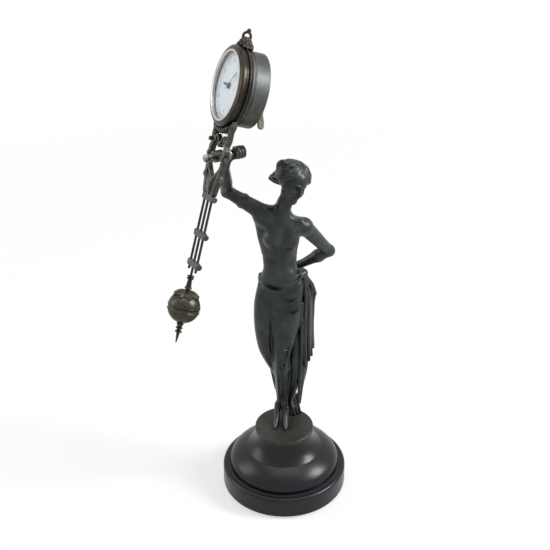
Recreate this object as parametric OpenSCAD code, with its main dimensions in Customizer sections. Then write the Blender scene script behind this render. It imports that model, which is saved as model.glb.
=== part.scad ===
// Swinging mystery clock: a cast figure on a turned base holds up a bar, and a drum clock
// with a long pendulum of rods and a ball hangs on that bar and swings as one piece.
// All sizes are in millimetres. +Z is up and the figure faces -Y.

/* [Base] */
// Thickness of the felt under the base
felt_t = 1; // [0.6:0.2:2]
// Radius of the lower turned disc
foot_r = 54; // [50:1:60]
// Height of the lower disc above the felt
foot_h = 20.8; // [16:0.2:26]
// Radius of the domed socle where it meets the disc
socle_r = 47.5; // [42:0.5:49]
// Height of the domed socle
socle_h = 34.4; // [28:0.2:40]
// Radius of the socle's neck
neck_r = 23.6; // [20:0.2:25]
// Radius of the cast ground under the figure's feet
ground_r = 25.25; // [23:0.25:28]
// Thickness of the cast ground
ground_t = 3.8; // [2:0.2:6]
// Radius of the bolt that holds figure, socle and disc together
bolt_r = 3; // [2:0.5:4]
// Radius of the washer under the bolt's head
washer_r = 8; // [6:0.5:10]

/* [Pivot] */
// Left or right place of the pivot, where the clock hangs
pivot_x = -51.2; // [-54:0.2:-48]
// Front or back place of the pivot
pivot_y = -14; // [-16:0.2:-12]
// Height of the pivot above the table
pivot_z = 330.4; // [326:0.2:336]
// Angle of the bar, seen from above, away from straight left to right
bar_turn = 22.92; // [18:0.01:28]
// How far the clock has swung to one side
swing = 15.17; // [8:0.01:18]
// How far the clock leans back
lean = 20.34; // [14:0.01:24]
// Radius of the bar in the raised hand
bar_r = 2.4; // [2:0.1:3]
// Length of the bar in front of the pivot
bar_front = 10.5; // [10:0.5:14]
// Distance from the pivot back to the middle of the fist
grip_back = 18; // [17:0.5:19]
// Radius of the two trunnion screws
trunnion_r = 1; // [0.8:0.1:1.4]
// Radial clearance of every turning fit
run = 0.04; // [0.02:0.01:0.08]

/* [Frame] */
// Half the distance between the side bars at the pivot
bar_half = 15.6; // [14:0.2:18]
// Width of a side bar
side_w = 4; // [3:0.2:5]
// Depth of the frame, front to back
frame_d = 4.4; // [3.6:0.2:6]
// Length of a crossbar
cross_l = 21.4; // [20:0.2:24]
// Depth of a crossbar, front to back
cross_d = 3.4; // [3:0.2:5]
// Height of a crossbar
cross_h = 5; // [4:0.2:6]
// Drop of the first crossbar, as a share of the way from the pivot to the collar
first_share = 0.338; // [0.32:0.002:0.38]
// Drop of the second crossbar, as the same kind of share
second_share = 0.65; // [0.6:0.01:0.7]
// Drop of the third crossbar, as the same kind of share
third_share = 0.9; // [0.85:0.01:0.92]
// Distance between neighbouring rods
rod_gap = 8; // [7:0.1:8.4]
// Radius of a rod
rod_r = 1; // [0.8:0.1:1.3]

/* [Bob] */
// Drop of the ball's centre below the pivot
bob_drop = 120; // [116:0.5:124]
// Radius of the ball
bob_r = 12.8; // [11:0.2:14]
// Wall of the ball's two shells
bob_wall = 1; // [0.6:0.1:1.6]
// Radius of the weight inside the ball
weight_r = 11.6; // [7:0.1:11.7]
// Drop of the finial's tip below the pivot
tip_drop = 149.3; // [144:0.1:154]

/* [Head] */
// Height of the dial's centre above the pivot
dial_h = 53.5; // [50:0.5:58]
// Radius of the glass that shows
sight_r = 25.7; // [24:0.1:26.5]
// Outer radius of the bezel
bezel_r = 31; // [30:0.2:33]
// Distance from the pivot plane forward to the bezel's front
bezel_y = 7.3; // [6.8:0.1:8.5]
// Radius of the drum
drum_r = 28.8; // [28:0.1:30]
// Wall of the drum
drum_wall = 0.5; // [0.5:0.1:1]
// Thickness of the rear cover
cover_t = 0.5; // [0.4:0.1:1]
// Distance from the pivot plane back to the drum's rear
drum_y = 17.3; // [16.8:0.1:19]
// Thickness of the glass
glass_t = 1.1; // [0.8:0.1:1.3]
// Thickness of the dial
dial_t = 0.6; // [0.4:0.1:0.8]
// Height of the crest above the pivot
crest_top = 98.1; // [94:0.1:102]

/* [Movement] */
// Radius of the two movement plates
plate_r = 22; // [21.4:0.1:22.6]
// Thickness of each plate
plate_t = 1.2; // [0.8:0.1:1.4]
// Distance between the plates
plate_gap = 9.8; // [9.6:0.1:10]
// Tooth size of the going train, pitch diameter over teeth
train_mod = 0.3; // [0.29:0.005:0.305]
// Tooth size of the barrel
barrel_mod = 0.4; // [0.38:0.005:0.405]
// Length of the hidden pendulum
hidden_l = 28; // [26:0.5:29]
// Gap between the balance weight and the drum
weight_gap = 0.2; // [0.1:0.05:0.4]
// Length of the balance weight, front to back
weight_len = 11; // [6:0.2:13]
// Angle that the balance weight spans
weight_span = 110; // [60:5:170]
// Length of the minute hand
minute_l = 18; // [15:0.5:21]
// Length of the hour hand
hour_l = 11.5; // [9:0.5:14]

/* [Figure] */
// Height of the crown of the hair above the table
crown_z = 319; // [314:0.5:324]
// Radius of the upper arms at the shoulder
arm_r = 7; // [6:0.2:8]
// Radius of the wrists
wrist_r = 3.6; // [3:0.2:4.4]

/* [Hidden] */
$fn = 64;
foot_z = felt_t;
socle_z = foot_z + foot_h;
ground_z = socle_z + socle_h;
floor_z = ground_z + ground_t;
eps = 0.01;
joint_gap = 0.3;

bob_z = -bob_drop;
// The collar stands this far above the ball's centre
collar_up = 25.3;
collar_z = bob_z + collar_up;
cross_1 = -collar_z * first_share;
cross_2 = -collar_z * second_share;
cross_3 = -collar_z * third_share;
// The column ends clear of the leaf cap, which rises with the ball
column_end = bob_z + bob_r + 2.2;
ring_count = 5;
ring_step = (collar_z - 2.4 - column_end - 1.6) / (ring_count - 1);
thread_r = 1.3;
head_bore = thread_r + run;

front_y = 0;
back_y = plate_t + plate_gap;
rear_y = drum_y - cover_t;
dial_y = -3.6;
inner_r = drum_r - drum_wall;
screw_head_r = 2.2;

wheel_teeth = 60;
pinion_teeth = 8;
step = train_mod * (wheel_teeth + pinion_teeth) / 2;
barrel_teeth = 48;
barrel_step = barrel_mod * (barrel_teeth + pinion_teeth) / 2;
barrel_at = barrel_step * [cos(-47), sin(-47)];
third_at = step * [cos(150), sin(150)];
fourth_at = step * [cos(90), sin(90)];
escape_at = step * [cos(30), sin(30)];
escape_r = 5;
pallet_at = escape_at + [-1.5, 7.45];
plumb = [-sin(16.12), -cos(16.12)];
motion_mod = 0.3;
motion_step = motion_mod * 20;
minute_wheel_at = motion_step * [cos(-120), sin(-120)];

shoulder_r = [-15.5, 6, 268.5];
elbow_r = [-46.6, 12, 286];
wrist_at = [-46.6, -6, 318];
palm_at = [-43, -8, 326.4];
fist_r = 5.2;
band_at = shoulder_r + 0.59 * (elbow_r - shoulder_r);
shoulder_l = [15, 8, 256.5];
elbow_l = [36, 26, 223];
wrist_l = [12, 27.5, 208];
hand_l = [1, 26.5, 204];
neck_low = [-2, 5.5, 270];
neck_high = [1.6, 2, 291];
neck_cut = 277;

// Trunk and skirt: height, middle x, middle y, half width, half depth
TRUNK = [
    [268, -2.5, 6, 11, 6.5], [262, -3.6, 6, 16.5, 8.5], [254, -4.2, 5, 17.5, 11],
    [246, -4.4, 4.5, 17, 12], [238, -4.3, 6, 15.5, 10.5], [229, -4.5, 7.5, 14.2, 9.6],
    [221, -3.9, 8, 15, 10.2], [212, -3.3, 8.5, 18, 12], [199, -3, 8.5, 19.2, 13],
    [184, -3.7, 8.5, 20.2, 13.5], [169, -5.3, 8, 20.4, 13.3], [157, -6.3, 8, 18.7, 12.6],
    [145, -7.3, 7.5, 16.2, 11.6], [133, -7.1, 8, 13.9, 10.6], [122, -4.5, 9, 11.3, 9.6],
    [112, -2, 10, 8.2, 8.8], [100, -1.7, 11, 5.8, 7.6], [86, -1.5, 12, 5, 6.2],
    [74, -2, 12.5, 5.6, 6], [62, -2.5, 12.5, 6.6, 6.5]];
// Middle of the face, and the head's width there
face_at = [3.2, -0.6, 299];
head_r = 14;
// From there: hair knot, lock over the ear, nose, nape, small roll on the crown, chin
HEAD_PARTS = [
    [[-7.2, 8.6, 5], [-12.7, 9.6, 1.5], 8, 4.6], [[8.8, 5.6, 2], [11.4, 4.6, 3.5], 6, 4.4],
    [[1.4, -11.8, -1], [1.8, -12.2, -5.4], 1.8, 2.4], [[-3.2, 8.6, -7], [-5.2, 10.6, -12], 7, 4.6],
    [[-0.2, 0.6, 16], [-9.2, 3.6, 13], 4, 4], [[2, -8.2, -13.4], [1.8, -3.4, -12], 3.2, 4]];
// Hanging folds beside the left hip: top point, bottom point, top and bottom radius
FOLDS = [
    [[15, 6, 206], [14, 7, 100], 4.6, 3.2], [[17, 13, 209], [17, 15, 104], 5.4, 3.6],
    [[19.5, 10, 203], [20.5, 12, 138], 5, 3.8], [[13, 19, 206], [11, 21, 84], 5, 3.8],
    [[9, 13, 150], [7, 15, 64], 4.5, 4], [[12, 11, 120], [8.5, 16, 66], 4, 3.4],
    [[20.5, 8, 192], [20, 11, 172], 4.6, 3.4]];

// A point of the fist, seen from the pivot along the bar
function back_along(d) = [pivot_x, pivot_y, pivot_z] + d * [cos(bar_turn), sin(bar_turn), 0];

// Where the clock hangs: z up its rods, x to three o'clock, y to its back
module at_bar() translate([pivot_x, pivot_y, pivot_z]) rotate([0, 0, bar_turn - 90]) children();
module at_cradle() at_bar() rotate([0, -swing, 0]) children();
module at_clock() at_cradle() rotate([-lean, 0, 0]) children();
// The dial's centre
module at_dial() at_clock() translate([0, 0, dial_h]) children();
// A round piece whose axis runs front to back, starting at y
module facing(y, at = [0, 0]) translate([at[0], y, at[1]]) rotate([-90, 0, 0]) children();
// A flat piece drawn in the dial's plane, x to three o'clock and y to twelve
module flat(y, t) translate([0, y + t, 0]) rotate([90, 0, 0]) linear_extrude(t) children();

module disc(y, t, r, hole = 0, at = [0, 0]) facing(y, at) difference() {
    cylinder(h = t, r = r);
    if (hole > 0) translate([0, 0, -1]) cylinder(h = t + 2, r = hole);
}

// Teeth with flat sides: wide at the root and narrow at the tip
function teeth_outline(teeth, mod, add, ded, first) = [
    for (i = [0 : teeth - 1]) for (p = [
            [-0.30, -ded], [-0.17, 0], [-0.07, add], [0.07, add], [0.17, 0], [0.30, -ded]])
        let (a = first + (i + p[0]) * 360 / teeth, r = teeth * mod / 2 + p[1] * mod)
            r * [cos(a), sin(a)]];
module toothed(teeth, mod, hole, first = 0, add = 0.8, ded = 1.1) difference() {
    polygon(teeth_outline(teeth, mod, add, ded, first));
    circle(r = hole);
}
// Crossings: the open sectors between a wheel's spokes
module crossings(outer, inner, count = 4, spoke = 1) difference() {
    circle(r = outer);
    circle(r = inner);
    for (i = [0 : count - 1]) rotate(i * 360 / count) translate([0, -spoke / 2]) square([outer + 1, spoke]);
}
// A band of even width that follows a list of points
function unit(v) = v / norm(v);
function side(v) = [-v[1], v[0]];
function heading(p, i) = unit(p[min(i + 1, len(p) - 1)] - p[max(i - 1, 0)]);
function ribbon(p, w) = concat(
    [for (i = [0 : len(p) - 1]) p[i] + side(heading(p, i)) * w / 2],
    [for (i = [len(p) - 1 : -1 : 0]) p[i] - side(heading(p, i)) * w / 2]);
// A scroll: radius grows evenly as the angle turns
function scroll(c, r0, r1, a0, a1, n = 14) = [
    for (i = [0 : n]) let (t = i / n, a = a0 + (a1 - a0) * t, r = r0 + (r1 - r0) * t)
        c + r * [cos(a), sin(a)]];

// Base
// The base is symmetric, so each piece is turned about the upright axis
module felt_pad() color("#26352a") cylinder(h = felt_t, r = foot_r - 3, $fn = 96);

module base_foot() color("#26282b") difference() {
    rotate_extrude($fn = 96) polygon(concat(
        [[0, foot_z], [foot_r - 1.6, foot_z]],
        [for (a = [-90 : 18 : 0]) [foot_r - 1.6 + 1.6 * cos(a), foot_z + 1.6 + 1.6 * sin(a)]],
        [for (a = [0 : 15 : 90]) [foot_r - 2.6 + 2.6 * cos(a), socle_z - 4 + 2.6 * sin(a)]],
        [[socle_r + 2.6, socle_z - 1.4], [socle_r + 2, socle_z - 0.2], [socle_r + 1, socle_z]],
        [[0, socle_z]]));
    translate([0, 0, foot_z - 1]) cylinder(h = 9, r = washer_r + 2);
    cylinder(h = socle_z + 1, r = bolt_r + 0.2);
}

// Dome below, cove above: the radius eases from the rim to the neck
function ogee(t) = t < 0.46 ? 1 - 0.62 * pow(t / 0.46, 2.1) : 0.38 * pow((1 - t) / 0.54, 2.35);
module base_socle() color("#26282b") difference() {
    rotate_extrude($fn = 96) polygon(concat(
        [[0, socle_z], [socle_r - 0.7, socle_z], [socle_r - 0.7, socle_z + 1.1], [socle_r, socle_z + 1.9]],
        [for (i = [1 : 24]) let (t = i / 24)
            [neck_r + (socle_r - neck_r) * ogee(t), socle_z + 2.2 + (socle_h - 2.2) * t]],
        [[0, ground_z]]));
    translate([0, 0, socle_z - 1]) cylinder(h = socle_h + 2, r = bolt_r + 0.2);
}

module fixing_washer() color("#8f8f8b") difference() {
    translate([0, 0, foot_z + 6.6]) cylinder(h = 1.4, r = washer_r);
    translate([0, 0, foot_z]) cylinder(h = 9, r = bolt_r + 0.2);
}

module fixing_bolt() color("#8f8f8b") {
    translate([0, 0, foot_z + 2]) cylinder(h = 4.6, r = bolt_r * 1.8, $fn = 6);
    translate([0, 0, foot_z + 6.6 - eps]) cylinder(h = ground_z + ground_t - 1 - foot_z - 6.6, r = bolt_r);
}

module ground_disc() color("#3d4240") difference() {
    union() {
        translate([0, 0, ground_z]) cylinder(h = ground_t - 0.5, r = ground_r, $fn = 96);
        translate([0, 0, floor_z - 0.5]) cylinder(h = 0.5, r1 = ground_r, r2 = ground_r - 0.5, $fn = 96);
    }
    translate([0, 0, ground_z - 1]) cylinder(h = ground_t, r = bolt_r + 0.1);
}

// Figure
module ball(p, r, n = 20) translate(p) sphere(r = r, $fn = n);
module limb(a, b, ra, rb, n = 20) hull() {
    ball(a, ra, n);
    ball(b, rb, n);
}
module slice(s, t = 0.2) translate([s[1], s[2], s[0]]) scale([s[3], s[4], 1])
    cylinder(h = t, r = 1, $fn = 28);
// What lies beyond a seam across an arm, on the side that d points to
module beyond(p, d, reach = 30) translate(p) rotate([0, acos(d[2] / norm(d)), atan2(d[1], d[0])])
    cylinder(h = reach, r = arm_r + 5.5, $fn = 48);

seam_r = shoulder_r + 0.16 * (elbow_r - shoulder_r);
seam_l = shoulder_l + 0.16 * (elbow_l - shoulder_l);

module trunk() {
    for (i = [0 : len(TRUNK) - 2]) hull() {
        slice(TRUNK[i]);
        slice(TRUNK[i + 1]);
    }
    limb([-3, 6, 264], shoulder_r, 9, arm_r + 1);
    limb([-3, 6, 262], shoulder_l, 9, arm_r + 1);
    limb(neck_low, neck_high, 7, 5.4);
    limb(shoulder_r, seam_r, arm_r + 1, arm_r + 0.5);
    limb(shoulder_l, seam_l, arm_r + 1, arm_r + 0.5);
    for (s = [-1, 1]) limb([-4 + s * 8.2, -1.6, 247.5], [-4 + s * 7.4, 4, 254], 6.6, 6);
}

module drapery() {
    for (f = FOLDS) limb(f[0], f[1], f[2], f[3], 14);
    limb([16, 11, 214], [20.5, 9.5, 204], 5, 5.4);
    limb([13, 14, 64], [7, 17, 70], 3.4, 4);
}

module feet() {
    limb([-0.6, 16, 66], [0.6, 2, 63.4], 5, 3.6, 16);
    limb([0.6, 2, 63.4], [1, -5.8, 62.2], 3.6, 2.6, 16);
    limb([-6.6, 17, 66], [-7.6, 4, 63.2], 4.8, 3.6, 16);
    limb([-7.6, 4, 63.2], [-8.2, -3.4, 62.2], 3.6, 2.6, 16);
}

module figure_body() color("#464d49") difference() {
    union() {
        trunk();
        drapery();
        feet();
    }
    translate([-60, -60, floor_z - 20]) cube([120, 120, 20]);
    translate([-30, -30, neck_cut]) cube([60, 60, 60]);
    beyond(seam_r, elbow_r - shoulder_r);
    beyond(seam_l, elbow_l - shoulder_l);
}

module figure_head() color("#464d49") intersection() {
    translate([-60, -60, neck_cut]) cube([120, 120, 80]);
    union() {
        limb(neck_low, neck_high, 7, 5.4);
        hull() translate(face_at) rotate([14, -8, 14]) scale([0.78, 0.94, 1.1]) sphere(r = head_r, $fn = 28);
        hull() translate([face_at[0] - 1.6, face_at[1] + 4.6, crown_z - head_r - 0.4])
            rotate([0, -8, 14]) scale([1.06, 1.1, 1.02]) sphere(r = head_r, $fn = 28);
        for (h = HEAD_PARTS) limb(face_at + h[0], face_at + h[1], h[2], h[3], 16);
    }
}

module raised_arm() color("#464d49") difference() {
    union() {
        limb(shoulder_r, elbow_r, arm_r + 1, 5.2);
        limb(elbow_r, elbow_r + 0.35 * (wrist_at - elbow_r), 5.2, 5.4);
        limb(elbow_r + 0.35 * (wrist_at - elbow_r), wrist_at, 5.4, wrist_r);
        limb(wrist_at, palm_at, wrist_r, 3.8);
        limb(palm_at, back_along(grip_back - 2), 3.8, 4.4);
        limb(back_along(grip_back - 3.6), back_along(grip_back + 4), fist_r, fist_r - 0.4);
        limb(back_along(grip_back - 3) + [0, -1, 3], back_along(grip_back - 4.4) + [0, 0, 7.4], 2, 1.3, 16);
        limb(band_at - 0.03 * (elbow_r - shoulder_r), band_at + 0.03 * (elbow_r - shoulder_r), 6.9, 6.8);
    }
    beyond(seam_r, shoulder_r - elbow_r);
    at_bar() facing(0) cylinder(h = grip_back + 16, r = bar_r + run);
}

module bent_arm() color("#464d49") difference() {
    union() {
        limb(shoulder_l, elbow_l, arm_r + 1, 5.2);
        limb(elbow_l, elbow_l + 0.35 * (wrist_l - elbow_l), 5.2, 5);
        limb(elbow_l + 0.35 * (wrist_l - elbow_l), wrist_l, 5, wrist_r);
        limb(wrist_l, hand_l, wrist_r, 3.4);
        for (k = [0 : 3]) limb(hand_l + [0, 0.4, 2.4 - 1.7 * k],
            hand_l + [-9 + abs(k - 1.4), -0.6, 2 - 2.4 * k], 1.6, 1.1, 12);
    }
    beyond(seam_l, shoulder_l - elbow_l);
}

// Pivot
grip_end = grip_back + 7;
module pivot_bar() color("#6a675f") at_bar() {
    facing(-bar_front) cylinder(h = bar_front + grip_end, r = bar_r);
    facing(-bar_front - 1.2) cylinder(h = 4.4, r = bar_r + 0.5);
    facing(grip_back - 10.4) cylinder(h = 2.2, r = bar_r + 2);
}

cradle_l = 7;
cradle_r = bar_r + 2.2;
module pivot_cradle() color("#7d7a6f") at_cradle() difference() {
    union() {
        disc(-cradle_l / 2, cradle_l, cradle_r);
        translate([-bar_half + side_w / 2 + joint_gap, -2, -2])
            cube([2 * bar_half - side_w - 2 * joint_gap, 4, 4]);
    }
    facing(-cradle_l) cylinder(h = 2 * cradle_l, r = bar_r + run);
    for (s = [-1, 1]) rotate([0, s * 90, 0]) translate([0, 0, cradle_r + 1.5])
        cylinder(h = bar_half, r = trunnion_r + run);
}

module trunnion_screws() color("#a39a82") at_clock() for (s = [-1, 1]) rotate([0, s * 90, 0]) {
    translate([0, 0, bar_half - side_w / 2 - 4.6]) cylinder(h = side_w + 5.6, r = trunnion_r);
    translate([0, 0, bar_half + side_w / 2]) cylinder(h = 1.6, r = screw_head_r);
}

// Frame of the clock: lyre arms above the pivot, side bars and struts below it
lyre_foot = [13.4, dial_h - sqrt(pow(bezel_r, 2) - pow(13.4, 2))];
boss_z = -16;
boss_x = 13.4;
// The side bars come together where the rods begin
low_half = rod_gap + 0.6;
end_knob_r = cross_h / 2 - 0.1;
end_knob_l = 3.2;
// Depth of the cast rim that joins the lyre arms under the bezel
rim_h = 4.6;
frame_low = -cross_1 + cross_h / 2;
function side_path() = [[bar_half + 0.4, 6], [bar_half, 0], [bar_half - 0.6, -7],
    [boss_x - 0.2, boss_z], [low_half, frame_low]];
function lyre_path() = [[lyre_foot[0] + 4.2, lyre_foot[1] + 4.5], [lyre_foot[0] + 4.6, lyre_foot[1]],
    [lyre_foot[0] + 3, lyre_foot[1] - 5], [bar_half + 1, 14], [bar_half - 1.4, 9.6], [bar_half + 0.2, 4.6]];
module side_frame() color("#8b8878") at_clock() difference() {
    union() {
        flat(-frame_d / 2, frame_d) for (s = [0, 1]) mirror([s, 0]) {
            polygon(ribbon(side_path(), side_w));
            polygon(ribbon(lyre_path(), 3.6));
            polygon(ribbon(scroll([bar_half - 4.6, 12.6], 1.2, 4.6, -200, 60), 2));
            polygon(ribbon([[bar_half - 1.4, 12], [7, 15.2], [3, 11.4], [-0.4, 9.2]], 2.2));
            polygon(ribbon([[bar_half - 1, -7.5], [6, -14], [-0.4, -19.5]], 2.4));
            translate([boss_x, boss_z]) circle(r = 4);
        }
        flat(-frame_d / 2, frame_d) {
            translate([0, -20.5]) circle(r = 2.6);
            translate([-1.4, frame_low]) square([2.8, -20.5 - frame_low]);
            translate([0, 9]) circle(r = 2);
            translate([0, dial_h]) intersection() {
                circle(r = bezel_r + rim_h);
                polygon([[0, 0], [-lyre_foot[0] * 1.8, -bezel_r - rim_h - 2],
                    [lyre_foot[0] * 1.8, -bezel_r - rim_h - 2]]);
            }
        }
        for (s = [-1, 1]) rotate([0, s * 90, 0]) translate([0, 0, bar_half - side_w / 2])
            cylinder(h = side_w, r = 3.3);
        for (s = [-1, 1]) facing(-frame_d / 2 - 1.4, [s * boss_x, boss_z])
            cylinder(h = frame_d + 2.8, r = 2.8);
    }
    rotate([0, 90, 0]) translate([0, 0, -bar_half - side_w])
        cylinder(h = 2 * (bar_half + side_w), r = trunnion_r);
    // Flat seats under the screw heads
    for (s = [-1, 1]) rotate([0, s * 90, 0]) translate([0, 0, bar_half + side_w / 2])
        cylinder(h = side_w, r = screw_head_r + 0.4);
    translate([-cross_l, -frame_d, frame_low - cross_h]) cube([2 * cross_l, 2 * frame_d, cross_h]);
    translate([-bar_half + side_w / 2, -frame_d, -3.8]) cube([2 * bar_half - side_w, 2 * frame_d, 7.6]);
    drum_seat();
}
// The round seat that the drum and its mouldings leave in what touches them
band_back = 3.5;
module drum_seat() translate([0, 0, dial_h]) {
    facing(-bezel_y - 1) cylinder(h = bezel_y + 1 + band_back, r = bezel_r + 0.05, $fn = 96);
    facing(0) cylinder(h = drum_y + 2, r = drum_r + 0.05, $fn = 96);
}

rod_x = [-rod_gap, 0, rod_gap];
// The round ends of a crossbar
module crossbars() color("#9a978c") at_clock() for (d = [cross_1, cross_2, cross_3]) difference() {
    union() {
        translate([-cross_l / 2, -cross_d / 2, -d - cross_h / 2]) cube([cross_l, cross_d, cross_h]);
        translate([cross_l / 2 - eps, 0, -d]) rotate([0, 90, 0]) cylinder(h = end_knob_l, r = end_knob_r);
    }
    for (x = rod_x) translate([x, 0, -d - cross_h]) cylinder(h = 2 * cross_h, r = rod_r);
}

module rods() color("#6f6c66") at_clock() {
    for (x = [-rod_gap, rod_gap]) translate([x, 0, -cross_3 - cross_h / 2 - 3])
        cylinder(h = cross_3 + cross_h / 2 + 3 - cross_1 + cross_h / 2, r = rod_r);
    translate([0, 0, collar_z]) cylinder(h = -collar_z - cross_1 + cross_h / 2, r = rod_r);
}

// Collar, ringed column and the thread that the ball slides on
module column() color("#8a8062") at_clock() {
    translate([0, 0, collar_z - 2.4]) cylinder(h = 2.4, r = 4.2);
    translate([0, 0, column_end]) cylinder(h = collar_z - 2.4 - column_end + eps, r = 1.7);
    for (i = [0 : ring_count - 1]) translate([0, 0, column_end + 0.8 + i * ring_step]) ring(2.2, 0.75);
    translate([0, 0, bob_z - bob_r - 2.6]) cylinder(h = bob_r + 2.6 + column_end - bob_z + eps, r = thread_r);
}
module ring(r, w) rotate_extrude() translate([r - w / 2, 0]) circle(r = w, $fn = 16);

// Ball
module dome(r, up) rotate_extrude($fn = 96) intersection() {
    circle(r = r, $fn = 96);
    translate([0, up ? 0 : -r]) square([r + 1, r]);
}
module bob_half(up) difference() {
    union() {
        dome(bob_r, up);
        translate([0, 0, up ? 0 : -1.5]) cylinder(h = 1.5, r = bob_r + 0.7, $fn = 96);
    }
    sphere(r = bob_r - bob_wall, $fn = 96);
    translate([0, 0, -bob_r - 1]) cylinder(h = 2 * bob_r + 2, r = head_bore);
}
module at_bob() at_clock() translate([0, 0, bob_z]) children();
module bob_upper_shell() color("#8d8672") at_bob() bob_half(true);
module bob_lower_shell() color("#8d8672") at_bob() bob_half(false);
module bob_weight() color("#6d6f72") at_bob() difference() {
    sphere(r = min(weight_r, bob_r - bob_wall - 0.1), $fn = 96);
    translate([0, 0, -bob_r]) cylinder(h = 2 * bob_r, r = head_bore);
}
// A thin cap of leaves that lies on the ball
cap_in = bob_r + 0.1;
cap_half = 8.6;
module bob_leaf_cap() color("#948a68") at_bob() difference() {
    union() {
        intersection() {
            sphere(r = cap_in + 0.9, $fn = 96);
            union() {
                translate([0, 0, 8]) cylinder(h = 8, r = cap_half - 1.6);
                for (i = [0 : 7]) rotate(i * 45) translate([cap_half - 2, 0, 8])
                    cylinder(h = 8, r = 2.2, $fn = 24);
            }
        }
        translate([0, 0, cap_in - 1]) cylinder(h = 1.2, r = 3.4);
    }
    sphere(r = cap_in, $fn = 96);
    translate([0, 0, 0]) cylinder(h = 2 * bob_r, r = head_bore);
}
nut_top = -bob_r - 0.1;
nut_low = -(tip_drop - bob_drop);
module rating_nut() color("#8a8062") at_bob() difference() {
    rotate_extrude() polygon([
        [0, nut_top], [3.6, nut_top], [3.4, nut_top - 1.4], [1.9, nut_top - 2.4], [1.9, nut_top - 3.4],
        [3, nut_top - 3.8], [3, nut_top - 4.8], [1.7, nut_top - 5.4], [1.5, nut_top - 6.4],
        [2.6, nut_top - 6.9], [2.6, nut_top - 7.9], [1.3, nut_top - 8.6], [1, nut_top - 12],
        [0.4, nut_low], [0, nut_low]]);
    translate([0, 0, -bob_r - 3.4]) cylinder(h = 4, r = head_bore);
}

// Drum, bezel and dial
module drum_case() color("#77775f") at_dial() difference() {
    disc(-1, rear_y + 1, drum_r);
    facing(-2) cylinder(h = drum_y + 4, r = inner_r, $fn = 96);
}
key_hole = 2.6;
module rear_cover() color("#77775f") at_dial() difference() {
    union() {
        disc(rear_y, cover_t, drum_r);
        disc(rear_y - 1.6, 1.6, inner_r - 0.1, inner_r - 0.8);
    }
    facing(rear_y - 3, barrel_at) cylinder(h = 6, r = key_hole);
    facing(rear_y - 3) cylinder(h = 6, r = key_hole);
}
glass_y = -bezel_y + 0.9;
module bezel() color("#565449") at_dial() difference() {
    facing(-bezel_y) rotate_extrude($fn = 96) polygon(concat(
        [[sight_r, 0.2], [sight_r, 0.9], [sight_r + 1.3, 0.9], [sight_r + 1.3, 3], [inner_r, 3]],
        [[inner_r, bezel_y - 1], [bezel_r - 0.9, bezel_y - 1]],
        [[bezel_r - 0.9, bezel_y - 2], [bezel_r, bezel_y - 2.6]],
        [for (a = [0 : 18 : 90]) [bezel_r - 2.6 + 2.6 * cos(a), 2.4 - 1.9 * sin(a)]],
        [[bezel_r - 3.4, 0.9], [sight_r + 1.2, 0]]));
}
// The second moulding, which joins the bezel to the drum
module bezel_band() color("#7c7560") at_dial() facing(-1 + eps) rotate_extrude($fn = 96) polygon(concat(
    [[drum_r, 0], [bezel_r - 0.5, 0]],
    [for (a = [-90 : 30 : 90]) [bezel_r - 1.2 + 1.1 * cos(a), 1.7 + 1.1 * sin(a)]],
    [[drum_r + 0.5, 3.2], [drum_r + 0.5, 4.2], [drum_r, 4.4]]));
module glass() color("#dfe8ec", 0.35) at_dial() disc(glass_y, glass_t, sight_r + 1.25);
foot_at = 19.4;
module dial() color("#f1f1ee") at_dial() difference() {
    union() {
        disc(dial_y, dial_t, inner_r - 0.1);
        for (a = [30, 150, 270]) facing(dial_y + dial_t - eps, foot_at * [cos(a), sin(a)])
            cylinder(h = -dial_y - dial_t + eps, r = 0.8, $fn = 24);
    }
    facing(dial_y - 1) cylinder(h = 3, r = 2.4);
}

// Crest: a pierced loop between leaves, standing on the drum
crest_foot = dial_h + bezel_r;
loop_z = crest_top - 6.2;
module crest() color("#7c765c") at_clock() difference() {
    union() {
        flat(1, 2.6) {
            translate([-7.6, crest_foot - 1.6]) square([15.2, 3]);
            for (s = [0, 1]) mirror([s, 0]) {
                polygon(ribbon(scroll([5.6, crest_foot + 2.4], 0.8, 3.4, 200, -60), 1.7));
                polygon(ribbon([[9.6, crest_foot - 2.4], [11.4, crest_foot + 0.4],
                    [9.6, crest_foot + 2.8]], 2));
                polygon(ribbon([[3, crest_foot + 1], [3.6, crest_foot + 4.6], [1.6, crest_foot + 7]], 1.8));
            }
            translate([0, loop_z]) loop_ring(3.5, 2);
            translate([-2.4, crest_foot]) square([4.8, loop_z - crest_foot - 2.6]);
        }
        translate([0, 2.3, crest_top - 1.8]) sphere(r = 1.8, $fn = 32);
        translate([0, 2.3, loop_z + 2.4]) cylinder(h = crest_top - loop_z - 4, r = 1.1);
    }
    drum_seat();
}
module loop_ring(outer, inner) difference() {
    circle(r = outer);
    circle(r = inner);
}

module balance_weight() color("#6d6f72") at_dial() flat(front_y + plate_t + 0.3, weight_len) intersection() {
    difference() {
        circle(r = inner_r - weight_gap, $fn = 96);
        circle(r = plate_r + 0.5, $fn = 96);
    }
    polygon([[0, 0], for (a = [180 - weight_span / 2 : weight_span / 6 : 180 + weight_span / 2])
        60 * [cos(a), sin(a)]]);
}

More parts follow.
